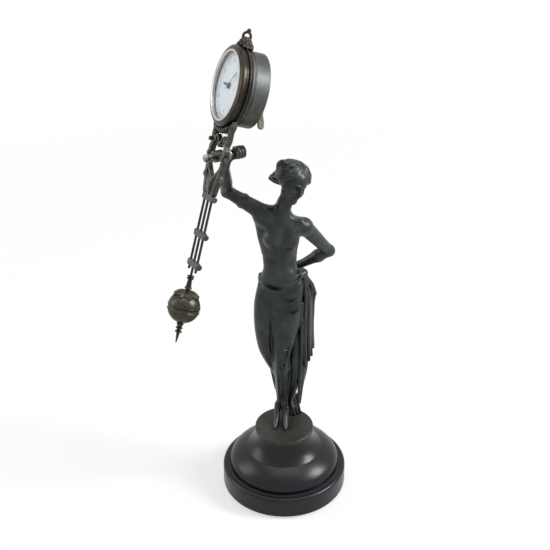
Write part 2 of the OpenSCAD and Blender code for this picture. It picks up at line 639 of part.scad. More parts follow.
// Movement
pillar_at = [for (a = [60, 132, 195, 262, 345]) (plate_r - 2) * [cos(a), sin(a)]];
pivot_hole = 0.5 + run;
module plate(y, extra = []) difference() {
    disc(y, plate_t, plate_r);
    for (p = [third_at, fourth_at, escape_at]) facing(y - 1, p) cylinder(h = plate_t + 2, r = pivot_hole);
    for (e = extra) facing(y - 1, [e[0], e[1]]) cylinder(h = plate_t + 2, r = e[2]);
    for (p = pillar_at) facing(y - 1, p) cylinder(h = plate_t + 2, r = 0.8);
}
centre_r = 0.8;
winding_r = 1.5;
module front_plate() color("#a89a6c") at_dial() union() {
    plate(front_y, [[0, 0, centre_r + run], [barrel_at[0], barrel_at[1], winding_r + run]]);
    for (a = [0, 90, 180, 270]) rotate([0, a, 0]) translate([plate_r - 1, front_y, -2.5])
        cube([inner_r - plate_r + 0.7, plate_t, 5]);
}
module back_plate() color("#a89a6c") at_dial() plate(back_y, [[0, 0, centre_r + run],
    [barrel_at[0], barrel_at[1], winding_r + run], [pallet_at[0], pallet_at[1], 1.4]]);
module pillars() color("#a89a6c") at_dial() for (p = pillar_at) difference() {
    disc(plate_t, plate_gap, 1.5, 0, p);
    facing(plate_t - 1, p) cylinder(h = plate_gap + 2, r = 0.8);
}
module plate_screws() color("#7e858c") at_dial() for (p = pillar_at) {
    facing(-0.9, p) cylinder(h = 0.9, r = 1.5, $fn = 24);
    facing(back_y + plate_t, p) cylinder(h = 0.9, r = 1.5, $fn = 24);
    facing(-0.9, p) cylinder(h = back_y + plate_t + 1.8, r = 0.78, $fn = 24);
}

barrel_r = barrel_teeth * barrel_mod / 2;
barrel_y = 1.7;
barrel_h = 5.2;
gear_y = barrel_y + barrel_h - 1.4;
module barrel() color("#b3a26c") at_dial() translate([barrel_at[0], 0, barrel_at[1]]) difference() {
    union() {
        flat(gear_y, 1.4) toothed(barrel_teeth, barrel_mod, 1, -47 + 180 / barrel_teeth + 180);
        disc(barrel_y, barrel_h, barrel_r - 1);
    }
    facing(barrel_y + 0.8) cylinder(h = barrel_h - 1.6, r = barrel_r - 1.9);
    facing(0) cylinder(h = 9, r = winding_r + run);
}
coil_n = 7;
function coil(r0, r1) = [for (i = [0 : coil_n * 12]) let (t = i / (coil_n * 12))
    (r0 + (r1 - r0) * t) * [cos(i * 30), sin(i * 30)]];
module mainspring() color("#5d6570") at_dial() translate([barrel_at[0], 0, barrel_at[1]])
    flat(barrel_y + 1, barrel_h - 2) polygon(ribbon(coil(winding_r + 0.5, barrel_r - 2.3), 0.36));

ratchet_y = 8.7;
knob_t = 1.8;
module winding_arbor() color("#8b8f94") at_dial() translate([barrel_at[0], 0, barrel_at[1]]) union() {
    facing(0.2) cylinder(h = drum_y + wing_y + 1.6, r = winding_r);
    flat(ratchet_y, 1.1) ratchet(14, 4);
}
module ratchet(count, r) polygon([for (i = [0 : count - 1]) for (q = [[0, r], [0.9, r - 0.9]])
    let (a = (i + q[0]) * 360 / count) q[1] * [cos(a), sin(a)]]);
key_tip = [18.8, -25.8];
key_dir = atan2(key_tip[1] - barrel_at[1], key_tip[0] - barrel_at[0]);
key_l = norm(key_tip - barrel_at);
// The wing turns clear of the hand-setting knob
wing_y = knob_t + 0.6;
module winding_key() color("#c9c8c2") at_dial() translate([barrel_at[0], 0, barrel_at[1]]) difference() {
    union() {
        disc(drum_y + 0.4, wing_y + 1.6, 2.5);
        translate([0, drum_y + 0.4 + wing_y, 0]) rotate([0, -key_dir, 0]) {
            translate([0, 0, -1.9]) cube([key_l - 3, 1.4, 3.8]);
            facing(0, [key_l - 3.4, 0]) cylinder(h = 1.4, r = 3.4);
            translate([-key_l * 0.45, 0, -1.9]) cube([key_l * 0.45, 1.4, 3.8]);
            facing(0, [-key_l * 0.45, 0]) cylinder(h = 1.4, r = 3.4);
        }
    }
    facing(0) cylinder(h = 60, r = winding_r);
}
click_at = barrel_at + [6.4, 3.6];
click_to = unit(barrel_at - click_at);
module click() color("#7e858c") at_dial() {
    difference() {
        flat(ratchet_y, 1.1) union() {
            translate(click_at) circle(r = 1.5);
            polygon(ribbon([click_at + 0.6 * click_to, click_at + 1.6 * click_to,
                click_at + 3 * click_to], 1.1));
        }
        facing(ratchet_y - 1, click_at) cylinder(h = 4, r = 0.6 + run);
    }
}

arbor_r = 0.6;
// A train wheel: toothed rim with crossings, a pinion and an arbor with fine pivots
module train_wheel(at, wheel_y, pinion_y, pinion_l, wheel_first, pinion_first) translate([at[0], 0, at[1]]) {
    flat(wheel_y, 0.7) difference() {
        toothed(wheel_teeth, train_mod, 0.3, wheel_first);
        crossings(wheel_teeth * train_mod / 2 - 1.4, 2.2);
    }
    flat(pinion_y, pinion_l) toothed(pinion_teeth, train_mod, 0.3, pinion_first);
    arbor_with_pivots();
}
module arbor_with_pivots() {
    facing(plate_t + 0.2) cylinder(h = plate_gap - 0.4, r = arbor_r, $fn = 24);
    facing(0.1) cylinder(h = back_y + plate_t - 0.2, r = 0.5, $fn = 24);
}
centre_y = 8;
third_y = 3;
fourth_y = 4.3;
wheel_half = 180 / wheel_teeth;
pinion_half = 180 / pinion_teeth;
module centre_wheel() color("#b3a26c") at_dial() difference() {
    union() {
        flat(centre_y, 0.7) difference() {
            toothed(wheel_teeth, train_mod, 0.3, 150 + wheel_half);
            crossings(wheel_teeth * train_mod / 2 - 1.4, 2.4);
        }
        flat(gear_y - 0.1, 1.7) toothed(pinion_teeth, barrel_mod, 0.3, -47);
        disc(gear_y, centre_y + 0.7 - gear_y, 1.15);
    }
    facing(gear_y - 2) cylinder(h = 8, r = centre_r + run);
}
module third_wheel() color("#b3a26c") at_dial()
    train_wheel(third_at, third_y, centre_y - 0.5, 1.7, 30 + wheel_half, 150 + 180);
module fourth_wheel() color("#b3a26c") at_dial()
    train_wheel(fourth_at, fourth_y, third_y - 0.5, 1.5, -30 + wheel_half, 30 + 180);
module escape_wheel() color("#b3a26c") at_dial() translate([escape_at[0], 0, escape_at[1]]) {
    flat(9.6, 0.6) difference() {
        ratchet_ring(30, escape_r);
        crossings(escape_r - 1.3, 1.4, 4, 0.7);
    }
    flat(fourth_y - 0.3, 1.3) toothed(pinion_teeth, train_mod, 0.3, 150);
    arbor_with_pivots();
}
module ratchet_ring(count, r) difference() {
    polygon([for (i = [0 : count - 1]) for (q = [[0, r], [0.12, r], [0.75, r - 0.7]])
        let (a = (i + q[0]) * 360 / count) q[1] * [cos(a), sin(a)]]);
    circle(r = 0.3);
}

// Escapement and the short pendulum that nobody sees
pallet_to = unit(escape_at - pallet_at);
pallet_clear = 0.5;
module pallet_anchor() color("#8b8f94") at_dial() {
    flat(9.5, 0.8) difference() {
        union() {
            translate(pallet_at) circle(r = 1.5);
            for (s = [-1, 1]) polygon(ribbon([pallet_at,
                escape_at - (escape_r + pallet_clear + 0.8) * turned(pallet_to, s * 38),
                escape_at - (escape_r + pallet_clear + 0.5) * turned(pallet_to, s * 52)], 1));
        }
        translate(escape_at) circle(r = escape_r + pallet_clear, $fn = 96);
    }
    facing(9.5, pallet_at) cylinder(h = 6.2, r = 0.6, $fn = 24);
}
function turned(v, a) = [v[0] * cos(a) - v[1] * sin(a), v[0] * sin(a) + v[1] * cos(a)];
cock_y = 14.6;
module pallet_cock() color("#a89a6c") at_dial() difference() {
    union() {
        flat(cock_y, 1) polygon(ribbon([pallet_at + [-8, 0.6], pallet_at + [1.6, 0]], 3.2));
        disc(back_y + plate_t, cock_y - back_y - plate_t + 0.2, 1.5, 0, pallet_at + [-7, 0.6]);
    }
    facing(cock_y - 1, pallet_at) cylinder(h = 3, r = 0.6 + run);
}
hidden_y = back_y + plate_t + 0.5;
hidden_bob = pallet_at + hidden_l * plumb;
module hidden_pendulum() color("#b3a26c") at_dial() difference() {
    union() {
        disc(hidden_y, 1.2, 1.3, 0, pallet_at);
        flat(hidden_y + 0.3, 0.6) polygon(ribbon([pallet_at, hidden_bob], 0.9));
        disc(hidden_y - 0.2, 2, 3.4, 0, hidden_bob);
    }
    facing(hidden_y - 1, pallet_at) cylinder(h = 4, r = 0.6);
}

// Hands and the wheels under the dial that drive them
hand_y = -4.3;
module centre_arbor() color("#8b8f94") at_dial() difference() {
    union() {
        facing(-5.3) cylinder(h = drum_y + 5.3 + knob_t + 0.4, r = centre_r, $fn = 32);
        flat(-1.2, 0.7) toothed(10, motion_mod, 0.3, -120);
        facing(-4.9) cylinder(h = 4.4, r = 1.05, $fn = 32);
    }
}
module minute_wheel() color("#b3a26c") at_dial() translate([minute_wheel_at[0], 0, minute_wheel_at[1]]) {
    flat(-1.15, 0.6) toothed(30, motion_mod, 0.3, 60 + 6);
    flat(-2.5, 1.4) toothed(8, motion_mod, 0.3, 60);
    facing(-2.6) cylinder(h = 2.5, r = 0.55, $fn = 24);
}
module hour_wheel() color("#b3a26c") at_dial() difference() {
    union() {
        flat(-2.2, 0.6) toothed(32, motion_mod, 1, -120 + 180 / 32);
        facing(-4.3) cylinder(h = 2.6, r = 1.7, $fn = 32);
    }
    facing(-6) cylinder(h = 6, r = 1.05 + run);
}
minute_a = 48;
hour_a = 274;
// A hand that points to twelve: eye, shaft, swelling and tip
module hand(l, w, eye, tail) {
    polygon([[-w * 0.7, -tail], [w * 0.7, -tail], [w * 0.5, l * 0.55], [w, l * 0.72], [0.12, l], [-0.12, l],
        [-w, l * 0.72], [-w * 0.5, l * 0.55]]);
    circle(r = eye, $fn = 32);
}
module hour_hand() color("#2b2c30") at_dial() difference() {
    flat(hand_y - 0.25, 0.25) rotate(-hour_a) hand(hour_l, 1.1, 2.3, 0);
    facing(-6) cylinder(h = 6, r = 1.05 + run, $fn = 32);
}
module minute_hand() color("#2b2c30") at_dial() difference() {
    flat(-5.1, 0.2) rotate(-minute_a) hand(minute_l, 0.5, 1.5, 4);
    facing(-6) cylinder(h = 6, r = centre_r, $fn = 32);
}
module set_knob() color("#b9b39a") at_dial() difference() {
    union() {
        disc(drum_y + 0.5, knob_t, 3.2);
        for (i = [0 : 15]) facing(drum_y + 0.5, 3.1 * [cos(i * 22.5), sin(i * 22.5)])
            cylinder(h = knob_t, r = 0.35, $fn = 13);
    }
    facing(0) cylinder(h = 40, r = centre_r);
}

felt_pad();
base_foot();
base_socle();
fixing_washer();
fixing_bolt();
ground_disc();
figure_body();
figure_head();
raised_arm();
bent_arm();
pivot_bar();
pivot_cradle();
trunnion_screws();
side_frame();
crossbars();
rods();
column();
bob_upper_shell();
bob_lower_shell();
bob_weight();
bob_leaf_cap();
rating_nut();
drum_case();
rear_cover();
bezel();
bezel_band();
glass();
dial();
crest();
balance_weight();
front_plate();
back_plate();
pillars();
plate_screws();
barrel();
mainspring();
winding_arbor();
winding_key();
click();
centre_wheel();
third_wheel();
fourth_wheel();
escape_wheel();
pallet_anchor();
pallet_cock();
hidden_pendulum();
centre_arbor();
minute_wheel();
hour_wheel();
hour_hand();
minute_hand();
set_knob();
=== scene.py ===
"""A swinging mystery clock: a patinated spelter figure on a black turned base holds up a bar,
and a brass drum clock with a ball pendulum hangs on it. Sizes are in millimetres until a mesh
is made, and in metres in Blender."""
from math import cos, pi, radians, sin, sqrt

import bmesh
import bpy
import numpy as np
import openvdb
from mathutils import Matrix, Vector


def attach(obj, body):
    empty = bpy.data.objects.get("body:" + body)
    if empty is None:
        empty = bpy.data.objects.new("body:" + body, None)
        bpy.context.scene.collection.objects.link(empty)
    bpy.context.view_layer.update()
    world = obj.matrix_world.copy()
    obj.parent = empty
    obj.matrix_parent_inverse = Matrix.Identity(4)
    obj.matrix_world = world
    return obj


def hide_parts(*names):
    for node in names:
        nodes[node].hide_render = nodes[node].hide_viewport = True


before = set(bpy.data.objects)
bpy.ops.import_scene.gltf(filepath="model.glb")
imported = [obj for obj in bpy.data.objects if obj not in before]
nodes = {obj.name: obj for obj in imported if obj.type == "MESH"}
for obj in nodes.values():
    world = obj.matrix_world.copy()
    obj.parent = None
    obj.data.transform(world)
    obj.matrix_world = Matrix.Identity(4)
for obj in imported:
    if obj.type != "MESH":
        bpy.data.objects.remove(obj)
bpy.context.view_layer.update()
# One millimetre in metres
MM = 0.001

# Camera, floor and light, in metres and degrees

CAMERA_AT = (0.0, -0.90565, 0.78727)
CAMERA_PITCH = 57.719
CAMERA_YAW = 0.513
CAMERA_LENS = 86.2
SENSOR = 36.0
# The floor shows this share of plain white up to SHADOW_REACH from the object's middle, and all
# white from FLOOR_CLEAR on, so that it keeps the shadow and meets the background
FLOOR_WHITE = 0.6
SHADOW_REACH = 0.12
FLOOR_CLEAR = 0.8
FLOOR_HALF = 3
FLOOR_DROP = 0.0004
WORLD_LIGHT = 0.22
# Name, place, width and height, and power in watts
LAMPS = (("window_left", (-1.3, 0.1, 0.8), (0.6, 1.1), 8),
         ("window_right", (1.15, -0.1, 1.0), (0.45, 0.6), 22),
         ("ceiling", (0.0, 0.1, 1.9), (1.4, 1.2), 14))
LAMPS_AIM = (0, 0, 0.24)


def aim_camera():
    """The camera, placed to match the photo."""
    data = bpy.data.cameras.new("camera")
    data.lens = CAMERA_LENS
    data.sensor_width = SENSOR
    camera = bpy.data.objects.new("camera", data)
    camera.location = CAMERA_AT
    camera.rotation_euler = (radians(CAMERA_PITCH), 0, radians(CAMERA_YAW))
    bpy.context.scene.collection.objects.link(camera)
    bpy.context.scene.camera = camera


def linear(hex_colour):
    """An sRGB hex value as a linear colour."""
    value = hex_colour.lstrip("#")
    out = []
    for i in (0, 2, 4):
        c = int(value[i:i + 2], 16) / 255
        out.append(c / 12.92 if c <= 0.04045 else ((c + 0.055) / 1.055) ** 2.4)
    return (*out, 1.0)


def add(tree, kind, links=(), **settings):
    """A node in tree, with its settings, and links given as (socket, source)."""
    node = tree.nodes.new(kind)
    for name, value in settings.items():
        if hasattr(node, name):
            setattr(node, name, value)
        else:
            node.inputs[name.replace("_", " ")].default_value = value
    for socket, source in links:
        tree.links.new(source, node.inputs[socket])
    return node


def new_material(name):
    """A material with an empty node tree."""
    material = bpy.data.materials.new(name)
    material.use_nodes = True
    material.node_tree.nodes.clear()
    return material, material.node_tree


# Finishes

# Where a finish's drift from its low to its high colour starts and ends on the noise
DRIFT_FROM, DRIFT_TO = 0.38, 0.66
# How open a place is where the painted shade is full and where it has faded out, and how far off
# a wall still shades it, in mm
PAINTED_SHADE_FROM, PAINTED_SHADE_TO = 0.30, 0.85
HOLLOW_REACH = 3.2


def finish_of(name, low, high, size, rough, metallic=1.0, depth=0.0, grain=1.5, spread=0.08,
              coat=0.0, coat_rough=0.1, painted_shade="", specular=0.5):
    """A finish whose colour drifts between low and high over patches of size mm, with grains of
    grain mm that are depth mm deep. The colour given for recesses is painted shade, mixed in
    where ambient occlusion finds the surface closed in."""
    material, tree = new_material(name)
    coords = add(tree, "ShaderNodeTexCoord")
    patch = add(tree, "ShaderNodeTexNoise", [("Vector", coords.outputs["Object"])],
                Scale=1 / (size * MM), Detail=5.0, Roughness=0.6)
    ramp = add(tree, "ShaderNodeValToRGB", [("Fac", patch.outputs["Fac"])])
    ramp.color_ramp.elements[0].position = DRIFT_FROM
    ramp.color_ramp.elements[0].color = linear(low)
    ramp.color_ramp.elements[1].position = DRIFT_TO
    ramp.color_ramp.elements[1].color = linear(high)
    colour = ramp.outputs["Color"]
    # Painted shade: the recess colour darkens places that ambient occlusion finds closed in
    if painted_shade:
        shade = add(tree, "ShaderNodeAmbientOcclusion", samples=6, Distance=HOLLOW_REACH * MM)
        painted_shade_ramp = add(tree, "ShaderNodeValToRGB", [("Fac", shade.outputs["AO"])])
        painted_shade_ramp.color_ramp.elements[0].position = PAINTED_SHADE_FROM
        painted_shade_ramp.color_ramp.elements[0].color = (0, 0, 0, 1)
        painted_shade_ramp.color_ramp.elements[1].position = PAINTED_SHADE_TO
        blend = add(tree, "ShaderNodeMixRGB", [("Fac", painted_shade_ramp.outputs["Color"]), ("Color2", colour)],
                    Color1=linear(painted_shade))
        colour = blend.outputs["Color"]
    dull = add(tree, "ShaderNodeMapRange", [("Value", patch.outputs["Fac"])],
               To_Min=max(0.02, rough - spread), To_Max=min(1.0, rough + spread))
    shader = add(tree, "ShaderNodeBsdfPrincipled", [("Base Color", colour),
                 ("Roughness", dull.outputs["Result"])],
                 Metallic=metallic, Coat_Weight=coat, Coat_Roughness=coat_rough,
                 Specular_IOR_Level=specular)
    if depth:
        grains = add(tree, "ShaderNodeTexNoise", [("Vector", coords.outputs["Object"])],
                     Scale=1 / (grain * MM), Detail=3.0, Roughness=0.55)
        relief = add(tree, "ShaderNodeBump", [("Height", grains.outputs["Fac"])], Strength=1.0,
                     Distance=depth * MM)
        tree.links.new(relief.outputs["Normal"], shader.inputs["Normal"])
    tree.links.new(shader.outputs[0], add(tree, "ShaderNodeOutputMaterial").inputs["Surface"])
    return material


# Cast spelter with a dark green-grey patina: soft sheen; the folds are blacker with painted shade
PATINA = finish_of("spelter_dark_patina", "#252929", "#373d3a", 14, 0.38, 0.4, 0.05, 1.1,
                   painted_shade="#0e1010", specular=0.35)
# Cast brass worn to a silvery grey; painted shade makes the sunk panels and recesses black
FRAME_CAST = finish_of("cast_brass_worn_grey", "#3b3a36", "#595853", 6, 0.42, 0.8, 0.03, 0.9,
                       painted_shade="#171714", specular=0.3)
# The same casting on the crest, browner and less rubbed; painted shade in its recesses
CREST_CAST = finish_of("cast_brass_brown", "#2c2922", "#46423a", 5, 0.42, 0.85, 0.03, 0.8,
                       painted_shade="#14130f", specular=0.3)
# Turned brass under an old brown lacquer; painted shade in its recesses
TURNED_BRASS = finish_of("turned_brass_brown_lacquer", "#322e26", "#4a4539", 5, 0.36, 0.9, 0.01, 0.6,
                         painted_shade="#15130e", specular=0.3)
# Spun brass gone brown-grey, polished enough for soft highlights; painted shade in its grooves
BALL_BRASS = finish_of("spun_brass_brown_grey", "#302d27", "#46423a", 9, 0.36, 0.95, 0.006, 2.2,
                       painted_shade="#16140e")
# The leaf cap keeps a beige brown skin; painted shade between and under the leaves
LEAF_BRASS = finish_of("cast_brass_beige", "#353027", "#4d463a", 4, 0.42, 0.8, 0.03, 0.7,
                       painted_shade="#17140e", specular=0.3)
# Dark bronzed brass of the bezel, with painted shade in its recesses
BRONZED = finish_of("bronzed_brass", "#2b2822", "#3e392f", 10, 0.36, 0.9, 0.008, 1.0,
                    painted_shade="#14120d", specular=0.3)
# Nickel wash on spun brass, worn through to olive brass in places
DRUM_SKIN = finish_of("nickel_washed_brass", "#46473a", "#606366", 26, 0.46, 0.95, 0.004, 1.6)
# Drawn steel, blackened: thin dark lines with a dull sheen
ROD_STEEL = finish_of("blackened_steel", "#2a2a29", "#3a3a38", 4, 0.4, 0.8, 0.004, 0.7)
# Turned steel left bright; painted shade darkens its groove
BAR_STEEL = finish_of("turned_steel", "#6a6b69", "#8a8a88", 5, 0.36, 1.0, 0.006, 0.7, painted_shade="#1a1a19")
# Beech stained black and french polished: nearly black, with soft highlights
EBONISED = finish_of("ebonised_beech", "#0a0c0f", "#101318", 30, 0.3, 0.0, 0.004, 3.0, 0.05,
                     specular=0.28)
# Cast spelter under the feet: browner and flatter than on the figure; painted shade in its recesses
GROUND_CAST = finish_of("spelter_ground_patina", "#2a2a26", "#383833", 8, 0.46, 0.3, 0.05, 1.3,
                        painted_shade="#141412", specular=0.3)
# White enamel, fired and glossy: the palest piece of the clock
ENAMEL = finish_of("white_enamel", "#f3f4f6", "#fafbfb", 12, 0.22, 0.0, 0.0, coat=0.4, coat_rough=0.05)
# Printing ink, blue-black and matt
PRINT_INK = finish_of("printing_ink", "#2a2b2f", "#34353a", 3, 0.5, 0.0)
# Green wool felt without sheen, its fibres drawn 0.35 mm thick so that they show
FELT = finish_of("wool_felt", "#1b231d", "#263028", 1.2, 0.95, 0.0, 0.12, 0.35)
# Plain turned steel: grey, with a soft shine
PLAIN_STEEL = finish_of("plain_steel", "#6d6d6c", "#868685", 6, 0.35, 1.0, 0.004, 0.7)
# Steel blued by heat: near black with a cold sheen
BLUED = finish_of("blued_steel", "#16181f", "#22252e", 3, 0.25, 0.8)
# Rolled and polished movement brass: clean yellow
GILT = finish_of("movement_brass", "#a68a4c", "#c2a663", 8, 0.22, 1.0, 0.003, 0.8)
# Cast lead: a dull grey skin
LEAD = finish_of("cast_lead", "#5c5e61", "#75777a", 5, 0.55, 0.7, 0.03, 1.2)
# Nickel plate on a cast key, worn to a warm grey
KEY_SKIN = finish_of("worn_nickel", "#3f3c37", "#56524b", 4, 0.5, 0.85, 0.01, 0.8)
# Silvered brass before the dial: pale and soft
SILVERED = finish_of("silvered_brass", "#b8b2ae", "#cdc8c4", 5, 0.3, 0.9, 0.004, 0.8)
# Nickel plate on turned brass: bright and faintly warm
NICKEL = finish_of("nickel_plate", "#b9b7b1", "#cbc9c3", 6, 0.24, 1.0, 0.004, 0.9)


def clear_glass():
    """Flat glass seen through: a mirror only as strong as the angle makes it."""
    material, tree = new_material("clear_glass")
    angle = add(tree, "ShaderNodeLayerWeight", Blend=0.12)
    share = add(tree, "ShaderNodeMapRange", [("Value", angle.outputs["Facing"])], To_Max=0.3)
    mirror = add(tree, "ShaderNodeBsdfGlossy", Roughness=0.03)
    through = add(tree, "ShaderNodeBsdfTransparent", Color=linear("#fafcfd"))
    both = add(tree, "ShaderNodeMixShader", [(0, share.outputs[0]), (1, through.outputs[0]),
                                             (2, mirror.outputs[0])])
    tree.links.new(both.outputs[0], add(tree, "ShaderNodeOutputMaterial").inputs["Surface"])
    return material


GLASS = clear_glass()


# Clay: solids as distances on a grid, in millimetres

# The distance that stands for all that is farther off, and how far past a stroke it is worked out
FAR = 10.0
EDGE = 1.0
# Rounding of a cut that leaves room for another piece, and that room
CRISP = 0.05
ROOM = 0.05


def unit(v):
    """v at a length of one."""
    v = np.array(v, float)
    return v / np.linalg.norm(v)


def turned(yaw=0, pitch=0, roll=0):
    """Rotation matrix: roll about Y, then pitch about X, then yaw about Z, in degrees."""
    return np.array(Matrix.Rotation(radians(yaw), 3, "Z") @ Matrix.Rotation(radians(pitch), 3, "X")
                    @ Matrix.Rotation(radians(roll), 3, "Y"))


class Clay:
    """A solid built up by strokes. turn and shift place each stroke on the grid, and carry takes
    the finished surface from the grid's axes to the world's."""

    def __init__(self, low, high, step, carry=None):
        self.step = step
        self.carry = carry
        self.low = np.array(low, float)
        counts = np.ceil((np.array(high) - self.low) / step).astype(int) + 1
        self.field = np.full(counts, FAR, np.float32)
        self.turn = np.eye(3)
        self.shift = np.zeros(3)

    def put(self, point):
        """A stroke's point on the grid."""
        return self.turn @ np.array(point, float) + self.shift

    def window(self, low, high):
        """The grid from low to high: its slices, and its coordinates along each axis."""
        cuts, axes = [], []
        for i in range(3):
            a = max(0, int((low[i] - self.low[i]) / self.step))
            b = min(self.field.shape[i], int((high[i] - self.low[i]) / self.step) + 2)
            if b <= a:
                return None, None
            cuts.append(slice(a, b))
            line = (self.low[i] + self.step * np.arange(a, b)).astype(np.float32)
            axes.append(line.reshape([-1 if j == i else 1 for j in range(3)]))
        return tuple(cuts), axes

    def merge(self, cuts, new, k, take):
        """Adds new to the solid or takes it away, melting over k."""
        old = self.field[cuts]
        if take:
            h = np.maximum(k - np.abs(old + new), 0) / k
            self.field[cuts] = np.maximum(old, -new) + h * h * k / 4
        else:
            h = np.maximum(k - np.abs(old - new), 0) / k
            self.field[cuts] = np.minimum(old, new) - h * h * k / 4

    def limb(self, a, b, ra, rb, k=1.5, take=False):
        """A bar with round ends from a to b, of radius ra to rb. k is how far it melts in."""
        self.chain([a, b], [ra, rb], k, take, 1)

    def chain(self, points, radii, k=1.5, take=False, smooth=3):
        """Bars in a row on a curve that passes through all the points."""
        points, radii = curve(points, radii, smooth)
        points = np.array([self.put(p) for p in points])
        k = max(k, 0.01)
        pad = (radii + k + EDGE)[:, None]
        cuts, axes = self.window((points - pad).min(axis=0), (points + pad).max(axis=0))
        if cuts is None:
            return
        new = np.full(self.field[cuts].shape, FAR, np.float32)
        first = np.array([axis.ravel()[0] for axis in axes])
        for a, b, ra, rb in zip(points, points[1:], radii, radii[1:]):
            reach = max(ra, rb) + k + EDGE
            low = np.maximum(((np.minimum(a, b) - reach - first) / self.step).astype(int), 0)
            high = ((np.maximum(a, b) + reach - first) / self.step).astype(int) + 2
            part = tuple(slice(i, j) for i, j in zip(low, high))
            d = (b - a).astype(np.float32)
            p = [axes[i][tuple(part[j] if j == i else slice(None) for j in range(3))]
                 - np.float32(a[i]) for i in range(3)]
            if min(p[0].size, p[1].size, p[2].size) == 0:
                continue
            t = np.clip((p[0] * d[0] + p[1] * d[1] + p[2] * d[2]) / max(float(d @ d), 1e-6), 0, 1)
            away = sum((p[i] - t * d[i]) ** 2 for i in range(3))
            new[part] = np.minimum(new[part], np.sqrt(away) - (ra + t * (rb - ra)))
        self.merge(cuts, new, k, take)

    def lump(self, at, radii, k=1.5, turn=None, take=False):
        """An ellipsoid."""
        rotation = self.turn if turn is None else self.turn @ turn
        at = self.put(at)
        pad = np.abs(rotation) @ np.array(radii, float) + k + EDGE
        cuts, axes = self.window(at - pad, at + pad)
        if cuts is None:
            return
        p = [axes[i] - np.float32(at[i]) for i in range(3)]
        own = [sum(np.float32(rotation[j, i]) * p[j] for j in range(3)) / radii[i]
               for i in range(3)]
        first = np.sqrt(own[0] ** 2 + own[1] ** 2 + own[2] ** 2)
        second = np.sqrt(sum((own[i] / radii[i]) ** 2 for i in range(3)))
        new = np.where(second > 1e-6, first * (first - 1) / np.maximum(second, 1e-6),
                       -min(radii))
        self.merge(cuts, new, max(k, 0.01), take)

    def strip(self, points, half_wide, half_deep, mid=0.0, edge=0.7, k=0.4, take=False, smooth=4):
        """A flat strip along a line in the XZ plane, half_deep thick to each side of y = mid."""
        flat, wide = curve([(x, 0, z) for x, z in points], half_wide, smooth)
        x, y, z = self.everywhere()
        aside = np.full((x.size, 1, z.size), FAR, np.float32)
        for a, b, ra, rb in zip(flat, flat[1:], wide, wide[1:]):
            d = b - a
            t = np.clip(((x - a[0]) * d[0] + (z - a[2]) * d[2]) / max(d @ d, 1e-6), 0, 1)
            gap = np.hypot(x - a[0] - t * d[0], z - a[2] - t * d[2]) - (ra + t * (rb - ra))
            aside = np.minimum(aside, gap)
        self.block(aside, np.abs(y - mid) - half_deep, edge, k, take)

    def drum(self, a, axis, radius, length, edge=0.4, k=0.2, take=False, hole=0.0):
        """A cylinder from a along axis, or a ring where it has a hole."""
        n = unit(axis)
        axes = self.everywhere()
        p = [axes[i] - a[i] for i in range(3)]
        along = p[0] * n[0] + p[1] * n[1] + p[2] * n[2]
        away = np.sqrt(np.maximum(p[0] ** 2 + p[1] ** 2 + p[2] ** 2 - along ** 2, 0))
        across = np.maximum(away - radius, hole - away) if hole else away - radius
        self.block(across, np.abs(along - length / 2) - length / 2, edge, k, take)

    def block(self, first, second, edge, k, take):
        """What lies inside two limits at once, with its edges rounded."""
        first, second = first + edge, second + edge
        new = np.hypot(np.maximum(first, 0), np.maximum(second, 0))
        new = (new + np.minimum(np.maximum(first, second), 0) - edge).astype(np.float32)
        self.merge(tuple(slice(0, n) for n in self.field.shape), new, max(k, 0.01), take)

    def everywhere(self):
        """The whole grid's coordinates along each axis."""
        return self.window(self.low, self.low + self.step * np.array(self.field.shape))[1]

    def keep_side(self, point, away):
        """Cuts off what lies past point in the direction away."""
        x, y, z = self.everywhere()
        n = unit(away)
        self.field = np.maximum(self.field, ((x - point[0]) * n[0] + (y - point[1]) * n[1]
                                             + (z - point[2]) * n[2]).astype(np.float32))

    def sleeve(self, point, away, radius, reach, keep):
        """The short round region past point: keeps only that, or takes it away."""
        x, y, z = self.everywhere()
        n = unit(away)
        p = (x - point[0], y - point[1], z - point[2])
        along = p[0] * n[0] + p[1] * n[1] + p[2] * n[2]
        aside = np.sqrt(np.maximum(p[0] ** 2 + p[1] ** 2 + p[2] ** 2 - along ** 2, 0)) - radius
        region = np.maximum(np.maximum(-along, along - reach), aside).astype(np.float32)
        self.field = np.maximum(self.field, region if keep else -region)

    def skin(self, name, material, body, *stands_for):
        """The clay's surface as a mesh piece that rides on body."""
        grid = openvdb.FloatGrid(FAR)
        grid.copyFromArray(np.ascontiguousarray(self.field, np.float32))
        grid.transform = openvdb.createLinearTransform(voxelSize=self.step)
        points, quads = grid.convertToQuads()
        points = points + self.low
        if self.carry:
            points = self.carry(points)
        mesh = bpy.data.meshes.new(name)
        mesh.from_pydata((points * MM).tolist(), [], quads.tolist())
        mesh.polygons.foreach_set("use_smooth", [True] * len(mesh.polygons))
        return place(mesh, name, material, body, *stands_for)


def curve(points, radii, smooth):
    """More points on the smooth curve through points, and radii to match."""
    p = np.array(points, float)
    r = np.array(radii, float) if np.ndim(radii) else np.full(len(p), float(radii))
    if smooth < 2 or len(p) < 3:
        return p, r
    out, wide = [], []
    for i in range(len(p) - 1):
        before, after = p[max(i - 1, 0)], p[min(i + 2, len(p) - 1)]
        for j in range(smooth):
            t = j / smooth
            out.append(0.5 * ((2 * p[i]) + (p[i + 1] - before) * t
                              + (2 * before - 5 * p[i] + 4 * p[i + 1] - after) * t * t
                              + (3 * p[i] - before - 3 * p[i + 1] + after) * t ** 3))
            wide.append(r[i] + (r[i + 1] - r[i]) * t)
    out.append(p[-1])
    wide.append(r[-1])
    return np.array(out), np.array(wide)


